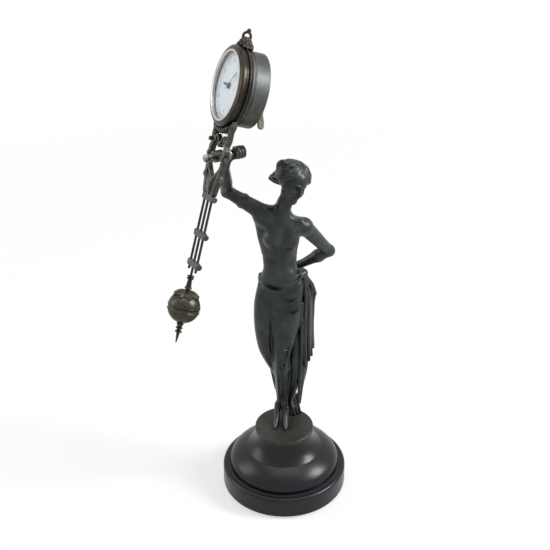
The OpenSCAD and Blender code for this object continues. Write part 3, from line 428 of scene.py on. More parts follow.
def place(mesh, name, material, body, *stands_for):
    """An object for mesh that rides on body and stands for CAD nodes."""
    piece = bpy.data.objects.new(name, mesh)
    bpy.context.scene.collection.objects.link(piece)
    mesh.materials.append(material)
    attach(piece, body)
    if stands_for:
        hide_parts(*stands_for)
    return piece


# Where the clock hangs, as in the CAD: the pivot, and the clock's own axes

PIVOT = np.array([-51.2, -14.0, 330.4])
BAR_TURN = radians(22.92)
CLOCK_X = np.array([0.375875, -0.888954, 0.261684])
CLOCK_Y = np.array([0.899042, 0.281385, -0.335478])
CLOCK_Z = np.array([0.224591, 0.361363, 0.904973])


# The figure as in the CAD: the ground disc's top, the cut at the neck, and the arms' joints

GROUND_TOP = 60.0
NECK_CUT = 277.0
SHOULDER_R = np.array([-15.5, 6, 268.5])
ELBOW_R = np.array([-46.6, 12, 286])
WRIST_R = np.array([-46.6, -6, 318])
PALM = np.array([-43, -8, 326.4])
GRIP = 18.0
SHOULDER_L = np.array([15, 8, 256.5])
ELBOW_L = np.array([36, 26, 223])
WRIST_L = np.array([12, 27.5, 208])
HAND_L = np.array([1, 26.5, 204])
# The seams lie this share of the way from shoulder to elbow
SEAM = 0.16
SEAM_R = SHOULDER_R + SEAM * (ELBOW_R - SHOULDER_R)
SEAM_L = SHOULDER_L + SEAM * (ELBOW_L - SHOULDER_L)
# How far the arms and head reach into the trunk at the soldered seams
LAP = 0.8
# Radius and length of the round region past a seam that belongs to the arm
SLEEVE = 12.5
REACH = 30.0


def between(a, b, t):
    """The point at the share t of the way from a to b."""
    return a + t * (b - a)


def neck(clay):
    """The neck with its two front cords."""
    clay.chain([(-2.4, 6.5, 264), (-1.2, 5.5, 274), (0.8, 4.2, 285), (3.4, 4.2, 296)],
               [8, 5.9, 5.2, 5.6], 4)
    clay.chain([(-1, 7, 280), (-5, 7, 273), (-11, 6.5, 269)], [4, 4, 4.4], 5)
    clay.limb((-3.5, 0.8, 267), (-3, 1.8, 284), 1.5, 2, 3)
    clay.limb((-2.6, 0.6, 267), (3.4, 0.8, 280), 1.3, 1.8, 3)


def torso(clay):
    """Bare trunk from hips to neck, and both upper arms."""
    clay.lump((-4.2, 6, 247), (15.8, 10.4, 20), 4)
    clay.lump((-4.4, 7.5, 229), (13.8, 9, 15), 6)
    clay.lump((-4, 5, 217), (12.5, 9, 14), 6)
    clay.lump((-3.2, 8.5, 204), (17.6, 11.6, 15), 8)
    clay.limb((-3, 6.5, 264), SHOULDER_R, 6.6, 7, 5)
    clay.limb((-2, 6.5, 262), SHOULDER_L, 7, 6.6, 5)
    clay.chain([SHOULDER_R, between(SHOULDER_R, ELBOW_R, 0.42), ELBOW_R], [7.2, 6.1, 4.7], 3, smooth=1)
    clay.chain([SHOULDER_L, between(SHOULDER_L, ELBOW_L, 0.42), ELBOW_L], [6.8, 5.8, 4.6], 3, smooth=1)
    # Muscle from the back under the raised arm, chest muscle and shoulder blades
    clay.chain([(-19.6, 7.4, 264), (-17.4, 7.4, 250), (-14.4, 7.6, 236)], [5.6, 5.2, 4], 5)
    clay.limb((-7, -1, 258), (-19, 3.5, 266.5), 4.2, 4, 5)
    clay.limb((5, -1, 256), (12.6, 4, 258), 4, 3.8, 5)
    for x, z, y in ((-11, 250, 13.4), (5, 247, 14.2)):
        clay.lump((x, y, z), (6, 3.4, 9), 5)
    # A modest bust, turned with the chest
    for x, y, z in ((-10.6, -2.2, 250), (4.6, -1.4, 247.4)):
        clay.lump((x, y, z), (6, 4.8, 5.8), 4.5)
    clay.lump((0.5, -1.4, 213), (8, 5, 8), 6)
    neck(clay)
    clay.limb((-1.8, 2.4, 268), (12, 3.8, 264), 1.3, 1.4, 3.4)
    clay.limb((-4.8, 2.4, 268.4), (-15, 3.6, 272.6), 1.3, 1.4, 3.4)
    # Backbone, and the line down the front
    clay.chain([(-2.4, 18.2, 262), (-3.6, 18, 246), (-4, 18, 230), (-3, 20.6, 214)], 1.3, 4,
               take=True)
    clay.chain([(-3.2, -6.4, 243), (-3.2, -4.8, 234), (-3, -6, 222)], 1, 4, take=True)


def legs(clay):
    """Thighs, knees and shins under the cloth, and bare feet on the ground disc."""
    clay.chain([(-13, 8.4, 202), (-16.6, 6.6, 184), (-17.3, 5.6, 166), (-16.2, 6, 150),
                (-14.6, 7, 137), (-11, 9.4, 122), (-5.8, 12, 106), (-4.6, 13.2, 88)],
               [9, 8.9, 8.5, 8.1, 7.2, 5, 3.1, 2.6], 2.2)
    clay.chain([(3, 8, 202), (2.4, 7, 184), (1, 5.6, 166), (-1.4, 3.6, 150), (-2.9, 2.4, 137),
                (-2.7, 5, 122), (-1.8, 8.4, 104), (-1.5, 11.4, 86), (-1.2, 12.6, 76)],
               [13, 12.8, 12.4, 10.4, 8.2, 6.8, 5.9, 4.9, 4.3], 2)
    # Feet: narrow, with a ridge from the instep down to the tip, and faint lines between the toes
    for ankle, instep, ball, tip in (((-0.4, 11.4, 74), (0.7, 4.2, 66.2), (1.1, -2.6, 62.4),
                                      (1.4, -7.8, 60.8)),
                                     ((-5.6, 12.6, 73), (-6.6, 5.6, 66), (-7.5, -0.8, 62.3),
                                      (-8.2, -5.8, 60.8))):
        clay.chain([ankle, instep, ball, tip], [3, 2.5, 1.9, 0.8], 0.6, smooth=4)
        for s in (-1, 1):
            clay.chain([(instep[0] + 0.8 * s, instep[1] + 2, 63.2), (ball[0] + 1.1 * s, ball[1] + 1, 61.6),
                        (tip[0] + 0.8 * s, tip[1] + 2.2, 60.8)], [2.2, 1.6, 0.7], 0.6, smooth=4)
            clay.chain([(ball[0] + 0.9 * s, ball[1] - 1, 64), (tip[0] + 0.6 * s, tip[1] + 0.6, 61.9)],
                       [0.15, 0.3], 0.3, True)


# The skirt's upper edge over the hips, and its run round the back
EDGE_LINE = [(-20.6, 13, 207.6), (-20.6, 6.4, 206), (-17, -0.4, 204.4), (-13.4, -3.6, 203.2),
             (-9.6, -5, 202), (-5.2, -5.5, 202.2), (0.2, -5, 203.8), (5.6, -3.6, 206),
             (10, -0.4, 209.4), (13.6, 4, 213), (15.4, 8, 213)]
BACK_LINE = [(-20.6, 13, 207.6), (-14, 18.6, 206.6), (-3, 20.4, 205), (8, 18.4, 208), (15, 12, 212)]


def fold(clay, points, radius, deep=1.2):
    """A raised fold with a hollow under it."""
    ends = [0.35] + [1.0] * (len(points) - 2) + [0.35]
    radii = [radius * e for e in ends]
    clay.chain([(x, y - 0.15 * radius, z) for x, y, z in points], radii, 0.7, smooth=5)
    clay.chain([(x, y - 0.9 * radius, z - 1.75 * radius) for x, y, z in points],
               [0.8 * r for r in radii], 1.4 * deep, True, 5)


def drapery(clay):
    """The cloth: a skirt drawn over both thighs, its folds, and the fall beside the left hip."""
    clay.chain([(-3, 9.6, 200), (-4.4, 9.6, 182), (-5.4, 9.6, 162), (-6, 9.8, 144),
                (-5.4, 10.6, 126), (-2.8, 12, 108), (-2, 12.8, 92), (-2, 13.4, 76)],
               [12, 12.4, 12, 10, 7.4, 4.8, 4, 3.6], 4)
    # The hollow between the thighs, and the dip of the cloth over the lap
    clay.chain([(-9.6, -5.6, 192), (-11.4, -5, 180), (-12, -4.4, 166), (-11.6, -3.6, 152),
                (-10.6, -2.6, 138), (-9.2, -1, 124)], [0.4, 0.9, 1.4, 2, 2, 0.8], 2, True, 5)
    clay.chain([(-11.9, -1.6, 172), (-11.6, -1, 156), (-11, -0.4, 142), (-9.6, 1, 128)],
               [0.3, 0.8, 1.3, 0.5], 0.8, True, 5)
    clay.lump((1.2, -8.6, 184), (7, 3.4, 11), 4, take=True)
    clay.lump((0.6, -8.8, 174), (3, 2.2, 5), 3, take=True)
    # The rolled upper edge, and the belt of cloth behind
    clay.chain(EDGE_LINE, [1.2, 1.4, 1.7, 1.9, 1.9, 1.8, 1.7, 1.8, 2, 2.4, 2.6], 0.5, smooth=5)
    clay.chain([(x * 1.01, y - 1.7, z - 2.9) for x, y, z in EDGE_LINE[1:-1]], 0.9, 0.9, True, 5)
    clay.chain(BACK_LINE, [1.2, 1.6, 1.8, 1.8, 2.2], 0.6, smooth=5)
    clay.chain([(2.6, -5, 211.2), (7.4, -2.6, 213.4), (12.4, 2, 216)], [0.4, 0.9, 1.6], 0.8,
               smooth=5)
    clay.chain([(2, -5, 208.8), (6.8, -3.4, 210.8), (11.4, 0.4, 213.6)], [0.4, 0.8, 0.8], 0.6,
               True, 5)
    clay.lump((15.4, 7.6, 212), (3.6, 4, 3.8), 1.2)
    # Folds over lap, knee and shin
    fold(clay, [(-2, -6.6, 192), (3.4, -7.2, 191), (9, -4.6, 194), (13.4, 0.4, 199)], 0.9)
    fold(clay, [(1.4, -6.6, 181), (7, -6, 180.4), (12.6, -2.6, 183), (15.6, 3, 188)], 0.8)
    fold(clay, [(7, -6.4, 176), (10.6, -4.6, 174.6), (14, 0.4, 177)], 0.6)
    fold(clay, [(-20.6, -0.6, 190), (-16.6, -3, 184), (-11.4, -3.4, 186)], 0.6)
    fold(clay, [(-4, -6.6, 147), (0.6, -6.8, 144.2), (5, -4.4, 145)], 0.75)
    fold(clay, [(-9, -4, 134.6), (-7, -5.4, 131), (-4.6, -5.4, 129)], 0.7)
    fold(clay, [(-3, -4.6, 130), (-1.2, -4.6, 125.4), (2, -3.8, 122.4), (5.4, -2.2, 122.8)], 1.2)
    clay.chain([(5.2, -5.6, 152), (3.4, -5.4, 140), (3.6, -4.6, 130), (5.2, -2.6, 123.4)],
               [0.3, 0.9, 0.9, 0.5], 0.6, smooth=4)
    for x, side in ((0.6, 1), (2.2, 1), (3.6, 2), (-4.4, -1), (-5.2, -1.4)):
        clay.chain([(x + side, 1.4, 118), (x + 0.4 * side, 4, 104), (x, 7.4, 90), (x - 0.4 * side, 9.2, 80)],
                   [0.3, 0.75, 0.7, 0.3], 0.6, smooth=4)
        clay.chain([(x + side + 1, 0.4, 116), (x + 0.4 * side + 0.9, 3, 104), (x + 0.9, 6.2, 90)],
                   [0.2, 0.5, 0.2], 0.5, True, 4)
    # Folds down the back of the skirt
    for i in range(8):
        side = -19 + 4.6 * i
        out = 20.6 - 0.014 * (side + 3) ** 2
        sway = 1.4 * sin(i * 1.7)
        clay.chain([(side * 0.9, out, 203), (side * 0.98 + 0.3 * sway, out + 0.3, 176),
                    (side * 0.8 - 2 + sway, out - 1, 146), (side * 0.5 - 2.4 + sway, out - 2, 116),
                    (side * 0.3 - 2, out - 3.4, 90)], [1.4, 2.3, 2.4, 1.9, 1], 0.7, smooth=4)
    # Inner tier of the fall: long flutes beside the left leg, ending at a slanting hem
    for i in range(8):
        t = i / 7
        out = sin(pi * (0.2 + 0.62 * t))
        wave = 0.6 * sin(i * 2.3)
        low = 95 - 9 * abs(0.5 - t) - (14 if i < 2 else 0)
        clay.chain([(10.4 + 6 * out, 1.6 + 17 * t, 186), (9.6 + 7.6 * out, 3 + 16 * t, 158),
                    (8.6 + 9.6 * out + wave, 4.2 + 14.5 * t, 132),
                    (8 + 9.8 * out + wave, 6 + 12 * t, 114),
                    (6.8 + 8.8 * out - 0.5 * wave, 7.4 + 10 * t, low)],
                   [1.3, 1.7, 1.9, 1.8, 1.1], 0.35, smooth=4)
    # Under it, the cloth that reaches the ground disc
    for i in range(6):
        t = i / 5
        out = sin(pi * (0.2 + 0.6 * t))
        clay.chain([(7.6 + 8 * out, 7 + 12 * t, 118), (5.6 + 4.8 * out, 8.6 + 10 * t, 92),
                    (3.2 + 3.4 * out, 10.4 + 8.4 * t, 77), (5 + 4.4 * out, 12 + 8 * t, 68)],
                   [1.2, 1.5, 1.2, 0.8], 0.3, smooth=4)
    clay.chain([(11, 11.4, 190), (9.8, 11.6, 158), (9.6, 12, 128), (7.6, 12.8, 100), (4.6, 14.4, 78),
                (6.4, 18, 62)], [6.6, 6.8, 7.2, 5, 2.8, 2.2], 1)
    # The cloth's end on the ground disc, and its edge over the right ankle
    for x, y in ((5.4, 13.4), (8, 13.8), (10.8, 15.4), (13.2, 17.6)):
        clay.chain([(0.72 * x + 1, y + 2.4, 79), (0.86 * x + 0.6, y + 1.4, 69), (x + 0.6, y, 61)],
                   [1, 1.4, 1.2], 0.35, smooth=3)
    clay.chain([(-4.4, 12.4, 88), (-4.6, 11.6, 78), (-6.4, 11, 70.5)], [2, 2, 2.4], 0.8, smooth=4)
    clay.chain([(-0.6, 10.4, 88), (-0.2, 9.4, 78), (0.4, 7.4, 69)], [2.6, 2.6, 2.3], 0.8, smooth=4)
    clay.chain([(2.8, 8.8, 96), (2.7, 7.6, 84), (2.4, 6.8, 72)], [0.5, 0.7, 0.5], 0.4, smooth=4)
    clay.chain([(-2.7, 8, 92), (-2.9, 7.4, 82), (-3, 7.2, 70)], [0.2, 0.6, 0.9], 0.4, True, 4)
    # Outer tier: folds that fan from the knot to a slanting hem
    for i in range(8):
        t = i / 7
        out = sin(pi * (0.12 + 0.72 * t))
        hem = 120 + 16 * min(1, 2.1 * t) - 8 * max(0, t - 0.6) + 0.8 * sin(i * 2.6)
        wave = 0.8 * sin(i * 1.9)
        clay.chain([(14.8 + 1.4 * out, 6 + 5 * t, 212), (14.6 + 6.4 * out, 4.4 + 12 * t, 197),
                    (14.2 + 8.2 * out + wave, 3.8 + 15 * t, 176),
                    (14 + 8.2 * out + wave, 4 + 16 * t, 156), (14.4 + 10 * out, 4.4 + 16.6 * t, hem)],
                   [1.2, 1.6, 1.7, 1.8, 1.3], 0.3, smooth=5)
    # The turned-over corner with its pointed tip
    clay.chain([(17, 8.6, 208), (21.4, 10.4, 199), (25, 12, 190)], [2, 2.8, 1.4], 0.9, smooth=5)
    clay.chain([(25, 12, 190), (23.4, 12, 182), (22.8, 12.4, 170), (22.2, 12.6, 160)],
               [1.4, 1.8, 1.7, 0.9], 0.8, smooth=5)
    for x, y in ((18.4, 6.4), (20.6, 8)):
        clay.chain([(x - 3, y, 208), (x, y - 0.6, 198), (x + 2, y + 0.4, 186)], [0.5, 1, 0.4], 0.4,
                   True, 4)


def make_body():
    """The trunk with skirt and feet, cut where arms and head are soldered on."""
    clay = Clay((-32, -14, GROUND_TOP - 1), (32, 32, NECK_CUT + 1), step=0.5)
    torso(clay)
    legs(clay)
    drapery(clay)
    clay.keep_side((0, 0, GROUND_TOP), (0, 0, -1))
    clay.keep_side((0, 0, NECK_CUT), (0, 0, 1))
    clay.sleeve(SEAM_R, ELBOW_R - SHOULDER_R, SLEEVE, REACH, False)
    clay.sleeve(SEAM_L, ELBOW_L - SHOULDER_L, SLEEVE, REACH, False)
    clay.skin("figure_trunk", PATINA, "stand", "figure_body")


# The armlet's place between shoulder and elbow, and its radius
ARMLET_AT = 0.59
ARMLET_R = 5.7
FINGER_GAP = 2.2


def make_raised_arm():
    """The right arm with its armlet, and the fist round the bar."""
    clay = Clay((-62, -22, 262), (-15, 24, 344), step=0.4)
    torso(clay)
    clay.sleeve(SEAM_R - LAP * unit(ELBOW_R - SHOULDER_R), ELBOW_R - SHOULDER_R, SLEEVE, REACH + 2,
                True)
    clay.chain([ELBOW_R, between(ELBOW_R, WRIST_R, 0.35), WRIST_R], [4.7, 5.1, 3.3], 3, smooth=1)
    clay.limb(ELBOW_R + (-0.6, 2, -0.6), ELBOW_R, 3.4, 3.8, 2.5)
    # Armlet: a flat band with a rolled rim on each side
    along = unit(ELBOW_R - SHOULDER_R)
    aside = unit(np.cross(along, (0, 0, 1)))
    over = np.cross(aside, along)
    for shift, thick in ((-1.5, 0.6), (0, 0.9), (1.5, 0.6)):
        centre = between(SHOULDER_R, ELBOW_R, ARMLET_AT) + along * shift
        ring = [centre + (ARMLET_R - 0.1 * shift) * (cos(a) * aside + sin(a) * over)
                for a in np.linspace(0, 2 * pi, 29)]
        clay.chain(ring, thick, 0.4, smooth=1)
    # The fist: four fingers curl round the bar, the thumb closes over them
    bar = np.array([cos(BAR_TURN), sin(BAR_TURN), 0])
    side = np.array([bar[1], -bar[0], 0])
    middle = PIVOT + GRIP * bar
    clay.chain([WRIST_R, PALM, middle - 2 * bar + (0, 0, -0.6)], [3.3, 3.6, 3.8], 3, smooth=3)
    clay.limb(middle - 3 * bar - 1 * side, middle + 2 * bar - 1 * side, 3.8, 3.5, 2)
    for finger in range(4):
        at = middle + (finger - 1.9) * FINGER_GAP * bar
        size = (1.4, 1.5, 1.45, 1.25)[finger]
        arc = [at + (3.5 + 0.2 * size) * (sin(a) * side + np.array([0, 0, -cos(a)]))
               for a in np.linspace(radians(215), radians(-30), 10)]
        clay.chain(arc, size, 0.35, smooth=2)
    clay.chain([middle - 4.6 * bar - 2 * side + (0, 0, 0.6),
                middle - 5.2 * bar + 1.4 * side + (0, 0, 3.2),
                middle - 3.6 * bar + 3.8 * side + (0, 0, 4.8)], [1.8, 1.6, 1.3], 1)
    clay.skin("raised_arm_cast", PATINA, "stand", "raised_arm")


def make_bent_arm():
    """The left arm, its hand on the hip."""
    clay = Clay((-14, -4, 194), (46, 40, 264), step=0.4)
    torso(clay)
    clay.sleeve(SEAM_L - LAP * unit(ELBOW_L - SHOULDER_L), ELBOW_L - SHOULDER_L, SLEEVE,
                REACH + 12, True)
    clay.limb(ELBOW_L, between(ELBOW_L, WRIST_L, 0.35), 4.7, 5, 3)
    clay.limb(between(ELBOW_L, WRIST_L, 0.35), WRIST_L, 5, 3.2, 3)
    clay.limb(ELBOW_L + (1.4, 1, -1.4), ELBOW_L, 3, 3.8, 2.5)
    clay.limb(WRIST_L, HAND_L, 3.1, 3.5, 2.5)
    clay.lump(HAND_L + (1.6, 0, 0), (5.2, 2.4, 4.4), 2)
    for finger in range(4):
        root = HAND_L + (-1, 0.2, 2.8 - 1.9 * finger)
        tip = HAND_L + (-9.4 + abs(finger - 1.4), -0.9, 2.4 - 2.5 * finger)
        clay.chain([root, between(root, tip, 0.5) + (0, 0.9, 0), tip], [1.6, 1.4, 1.05], 0.6)
    clay.chain([HAND_L + (3, -1, 3), HAND_L + (-1, -2.6, 5), HAND_L + (-5, -2.4, 4.6)],
               [1.9, 1.5, 1.2], 0.8)
    clay.skin("bent_arm_cast", PATINA, "stand", "bent_arm")


# The head's middle, and its turn, nod and tilt
HEAD_AT = np.array([6, 0.8, 300])
HEAD_TURN = turned(yaw=32) @ turned(pitch=6) @ turned(roll=24)


def make_head():
    """The head in its own frame: face towards -y, crown towards +z."""
    clay = Clay((-26, -20, NECK_CUT - 2), (28, 26, 324), step=0.25)
    neck(clay)
    clay.turn, clay.shift = HEAD_TURN, HEAD_AT
    # Skull, jaw and chin
    clay.lump((0, 2.2, 3.4), (10, 12.2, 11.8), 2)
    clay.lump((0, -2.8, -3.6), (7.6, 8.8, 10.6), 3)
    clay.lump((0, -8.2, -12), (3, 2.8, 2.4), 3)
    for s in (-1, 1):
        clay.limb((s * 6, -1, -8), (s * 1.6, -7.6, -12.6), 2, 1.8, 3)
    # Forehead, brows, sockets, lids and cheeks
    clay.lump((0, -5.6, 5), (7.2, 5.4, 6), 3)
    for s in (-1, 1):
        clay.lump((s * 3.7, -12, -0.8), (2.9, 2.6, 2.1), 1.6, take=True)
        clay.chain([(s * 1, -11.1, 1.4), (s * 3.4, -10.9, 2.2), (s * 6.3, -8.4, 0.9)],
                   [0.7, 0.85, 0.5], 1)
        clay.lump((s * 3.6, -8.4, -0.9), (2.2, 1.9, 1.7), 0.4)
        clay.chain([(s * 1.7, -9.8, -0.7), (s * 3.6, -10.45, 0.1), (s * 5.6, -8.8, -0.8)], 0.32, 0.3)
        clay.chain([(s * 1.9, -9.7, -1.4), (s * 3.6, -10, -2.1), (s * 5.4, -8.7, -1.5)], 0.25, 0.3)
        clay.lump((s * 4.9, -6.6, -4.6), (3, 2.7, 3), 3)
    # Nose
    clay.limb((0, -10.8, 1), (0, -13.4, -4.2), 0.95, 1.25, 1)
    clay.lump((0, -13.5, -4.6), (1.25, 1.15, 1.05), 0.7)
    for s in (-1, 1):
        clay.lump((s * 1.35, -12, -5), (0.9, 1.2, 0.85), 0.6)
        clay.lump((s * 0.7, -12.9, -5.8), (0.35, 0.45, 0.35), 0.3, take=True)
    # Closed lips, and the hollow under them
    clay.lump((0, -9.6, -8), (3.4, 2.2, 2.4), 1.4)
    clay.chain([(-2.7, -10.4, -7.8), (-1, -11.9, -7), (0, -11.8, -7.25), (1, -11.9, -7),
                (2.7, -10.4, -7.8)], [0.25, 0.62, 0.55, 0.62, 0.25], 0.35)
    clay.chain([(-2.3, -10.5, -8.3), (0, -11.7, -8.8), (2.3, -10.5, -8.3)], [0.3, 0.82, 0.3], 0.35)
    clay.chain([(-2.9, -10.7, -7.9), (0, -12.3, -7.95), (2.9, -10.7, -7.9)], 0.2, 0.2, take=True)
    clay.lump((0, -11.8, -10.4), (2.2, 0.9, 0.7), 1, take=True)
    hair(clay)
    clay.keep_side((0, 0, NECK_CUT - LAP), (0, 0, -1))
    clay.skin("figure_head_cast", PATINA, "stand", "figure_head")


# The cap of hair in the head's frame
CAP_AT = (0.0, 3.4, 4.0)
CAP_SIZE = (12.2, 12.4, 11.8)


def scalp(angle, height, lift=0.2):
    """A point on the cap of hair: angle from the face round the side, height -1 nape to 1 crown."""
    flat = sqrt(max(0.0, 1 - height * height))
    return (CAP_AT[0] + (CAP_SIZE[0] + lift) * flat * sin(angle),
            CAP_AT[1] - (CAP_SIZE[1] + lift) * flat * cos(angle),
            CAP_AT[2] + (CAP_SIZE[2] + lift) * height)


def hair(clay):
    """Locks that leave a parting, wave over the temples and gather in a pointed knot behind."""
    clay.lump(CAP_AT, CAP_SIZE, 0.8)
    for s in (-1, 1):
        # From the parting over temple and ear; the first lock frames the face
        for lock in range(6):
            t = lock / 5
            path = []
            for step in range(9):
                u = step / 8
                angle = 0.1 + 0.06 * lock + (2.25 - 0.1 * lock) * u
                height = (0.6 + 0.37 * t) - (1.12 - 0.32 * t) * u ** 0.9 - 0.1 * sin(pi * u)
                height += 0.045 * sin(3.4 * pi * u + 1.3 * lock)
                path.append(scalp(s * angle, min(0.97, height), 0.1 + (1.3 - 0.5 * t) * sin(pi * u)))
            clay.chain(path, [0.8, 1.2, 1.5, 1.6, 1.65, 1.6, 1.5, 1.3, 0.9], 0.3, smooth=4)
            clay.chain([(1.09 * x, 1.08 * (y - CAP_AT[1]) + CAP_AT[1], z + 1.15)
                        for x, y, z in path[1:-1]], 0.35, 0.3, True, 4)
        # Locks between the crown and the ear
        for lock in range(5):
            a = 1.15 + 0.3 * lock
            clay.chain([scalp(s * a, 0.96), scalp(s * (a + 0.12), 0.74, 0.5),
                        scalp(s * (a + 0.3), 0.46, 0.7), scalp(s * (a + 0.4), 0.16, 0.7),
                        scalp(s * (a + 0.42), -0.12, 0.4)], [0.9, 1.5, 1.7, 1.6, 1.1], 0.3, smooth=4)
        # A loose curl in front of the ear
        clay.chain([scalp(s * 0.8, 0.1, 0), scalp(s * 1.02, -0.2, 0.5), scalp(s * 1.1, -0.5, 0),
                    scalp(s * 1.3, -0.62, -0.6)], [0.8, 1.3, 1.1, 0.5], 0.4, smooth=4)
    # Back of the head, from the crown into the knot
    for lock in range(9):
        a = pi + (lock - 4) * 0.3
        clay.chain([scalp(a, 0.97), scalp(a, 0.7, 0.5), scalp(a + 0.05, 0.3, 0.5),
                    scalp(a, -0.1, 0.4), scalp(a, -0.5, 0)], [0.8, 1.5, 1.7, 1.6, 1], 0.3, smooth=4)
    # The knot points back and down, and a small roll sits on the crown; both in world axes
    clay.turn, clay.shift = np.eye(3), np.zeros(3)
    root, tip = np.array((-2.6, 9, 302)), np.array((-13, 10.6, 298.6))
    clay.limb(root, between(root, tip, 0.7), 7.4, 2.9, 1.4)
    for strand in range(9):
        a = strand * 2 * pi / 9
        ring = np.array([0.35 * cos(a), cos(a), sin(a)])
        clay.chain([root + ring * 7.6 + (3, 0, 0.6), root + ring * 6.6,
                    between(root, tip, 0.5) + ring * 4, tip + ring * 0.6 + (0.4, 0, 0)],
                   [0.9, 1.3, 1.2, 0.7], 0.35, smooth=5)
    clay.chain([(4, 2, 315), (0.6, 2, 316.4), (-2.4, 3, 316.4), (-4.8, 4.6, 313.6), (-5, 6.4, 308)],
               [1.2, 1.9, 2.4, 2.4, 2], 0.8, smooth=5)
    clay.chain([(2.6, 0.6, 316), (-0.4, 0.4, 317.2), (-3.4, 1.6, 316)], [0.6, 1, 0.6], 0.3,
               smooth=5)


# The clock, in its own axes: x to three o'clock, y to the rear, z to twelve; the pivot is zero

CLOCK_TURN = np.column_stack([CLOCK_X, CLOCK_Y, CLOCK_Z])
# Dial centre, bezel radius and front, drum radius and rear, and radius of the dial's opening
DIAL_H = 53.5
BEZEL_R, BEZEL_Y = 31.0, 7.3
DRUM_R, DRUM_Y = 28.8, 17.3
SIGHT_R = 25.7
# Side bars: half the way between them, their width, and the frame's depth
BAR_HALF, SIDE_W, FRAME_D = 15.6, 4.0, 4.4
# Crossbars: length, depth and height, and the radius of the pins through them
CROSS_L, CROSS_D, CROSS_H = 21.4, 3.4, 5.0
PIN_R = 1.4
ROD_GAP = 8.0
# Height of the frame's rim under the bezel
RIM = 4.6
# Ball centre and radius, and the finial's tip
BOB_Z, BOB_R, TIP_Z = -120.0, 12.8, -149.3
COLLAR_Z = BOB_Z + 25.3
CROSSBARS = [-COLLAR_Z * share for share in (0.338, 0.65, 0.9)]
FRAME_LOW = -CROSSBARS[0] + CROSS_H / 2
# Where a lyre arm meets the bezel, the middle of its scroll, and the pins above and below the pivot
LYRE_X = 13.4
LYRE_FOOT = (LYRE_X, DIAL_H - sqrt(BEZEL_R ** 2 - LYRE_X ** 2))
SCROLL_AT = (BAR_HALF - 4.6, 12.6)
TOP_PIN_Z = 9
STRUT_Z = -20.5
# The frame's round bosses and half its width at the foot, how far the held bar stands out before
# the pivot, and how far the winding arbor lies from the dial's centre
BOSS_Z = -16.0
LOW_HALF = ROD_GAP + 0.6
BOSS_X = 13.4
BAR_FRONT = 10.5
BARREL_STEP = 11.2
CREST_TOP = 98.1
LOOP_Z = CREST_TOP - 6.2
BEZEL_TOP = DIAL_H + BEZEL_R
# The winding arbor's place from the dial's centre, and the tip of the key's long wing
BARREL_ANGLE = radians(-47)
BARREL_AT = BARREL_STEP * np.array([cos(BARREL_ANGLE), sin(BARREL_ANGLE)])
KEY_TIP = np.array([18.8, -25.8])


def in_clock(points):
    """Clock coordinates as world coordinates."""
    return np.asarray(points, float) @ CLOCK_TURN.T + PIVOT


def along_bar(points):
    """Coordinates with y along the held bar as world coordinates."""
    c, s = cos(BAR_TURN), sin(BAR_TURN)
    return np.asarray(points, float) @ np.array([[s, c, 0], [-c, s, 0], [0, 0, 1]]).T + PIVOT


def lathe(name, profile, carry, material, body, *stands_for, axis="z", count=128, sharp=32):
    """A turned piece: profile lists (radius, place on the axis), in order round the section."""
    points, faces = [], []
    for r, h in profile:
        for i in range(count):
            a = 2 * pi * i / count
            x, y = r * cos(a), r * sin(a)
            points.append((x, y, h) if axis == "z" else (x, h, y))
    for j in range(len(profile) - 1):
        for i in range(count):
            n = (i + 1) % count
            face = [j * count + i, j * count + n, (j + 1) * count + n, (j + 1) * count + i]
            faces.append(face if axis == "z" else face[::-1])
    mesh = bpy.data.meshes.new(name)
    mesh.from_pydata((carry(points) * MM).tolist(), [], faces)
    work = bmesh.new()
    work.from_mesh(mesh)
    bmesh.ops.remove_doubles(work, verts=work.verts, dist=1e-6)
    bmesh.ops.dissolve_degenerate(work, edges=work.edges, dist=1e-7)
    bmesh.ops.recalc_face_normals(work, faces=work.faces)
    work.to_mesh(mesh)
    work.free()
    mesh.polygons.foreach_set("use_smooth", [True] * len(mesh.polygons))
    mesh.set_sharp_from_angle(angle=radians(sharp))
    return place(mesh, name, material, body, *stands_for)


def arc(middle, height, radius, start, end, count=8, flat=1.0):
    """Points of a round moulding, angles from the radial direction towards the axis's end."""
    out = []
    for i in range(count + 1):
        a = radians(start + (end - start) * i / count)
        out.append((middle + radius * cos(a), height + flat * radius * sin(a)))
    return out


def scroll(middle, r0, r1, a0, a1, count=14):
    """A spiral that runs from radius r0 at angle a0 to r1 at a1."""
    out = []
    for i in range(count + 1):
        t = i / count
        a, r = radians(a0 + (a1 - a0) * t), r0 + (r1 - r0) * t
        out.append((middle[0] + r * cos(a), middle[1] + r * sin(a)))
    return out


def mirrored(points, s):
    """An outline for the side s, 1 or -1, of the middle line."""
    return [(s * x, z) for x, z in points]


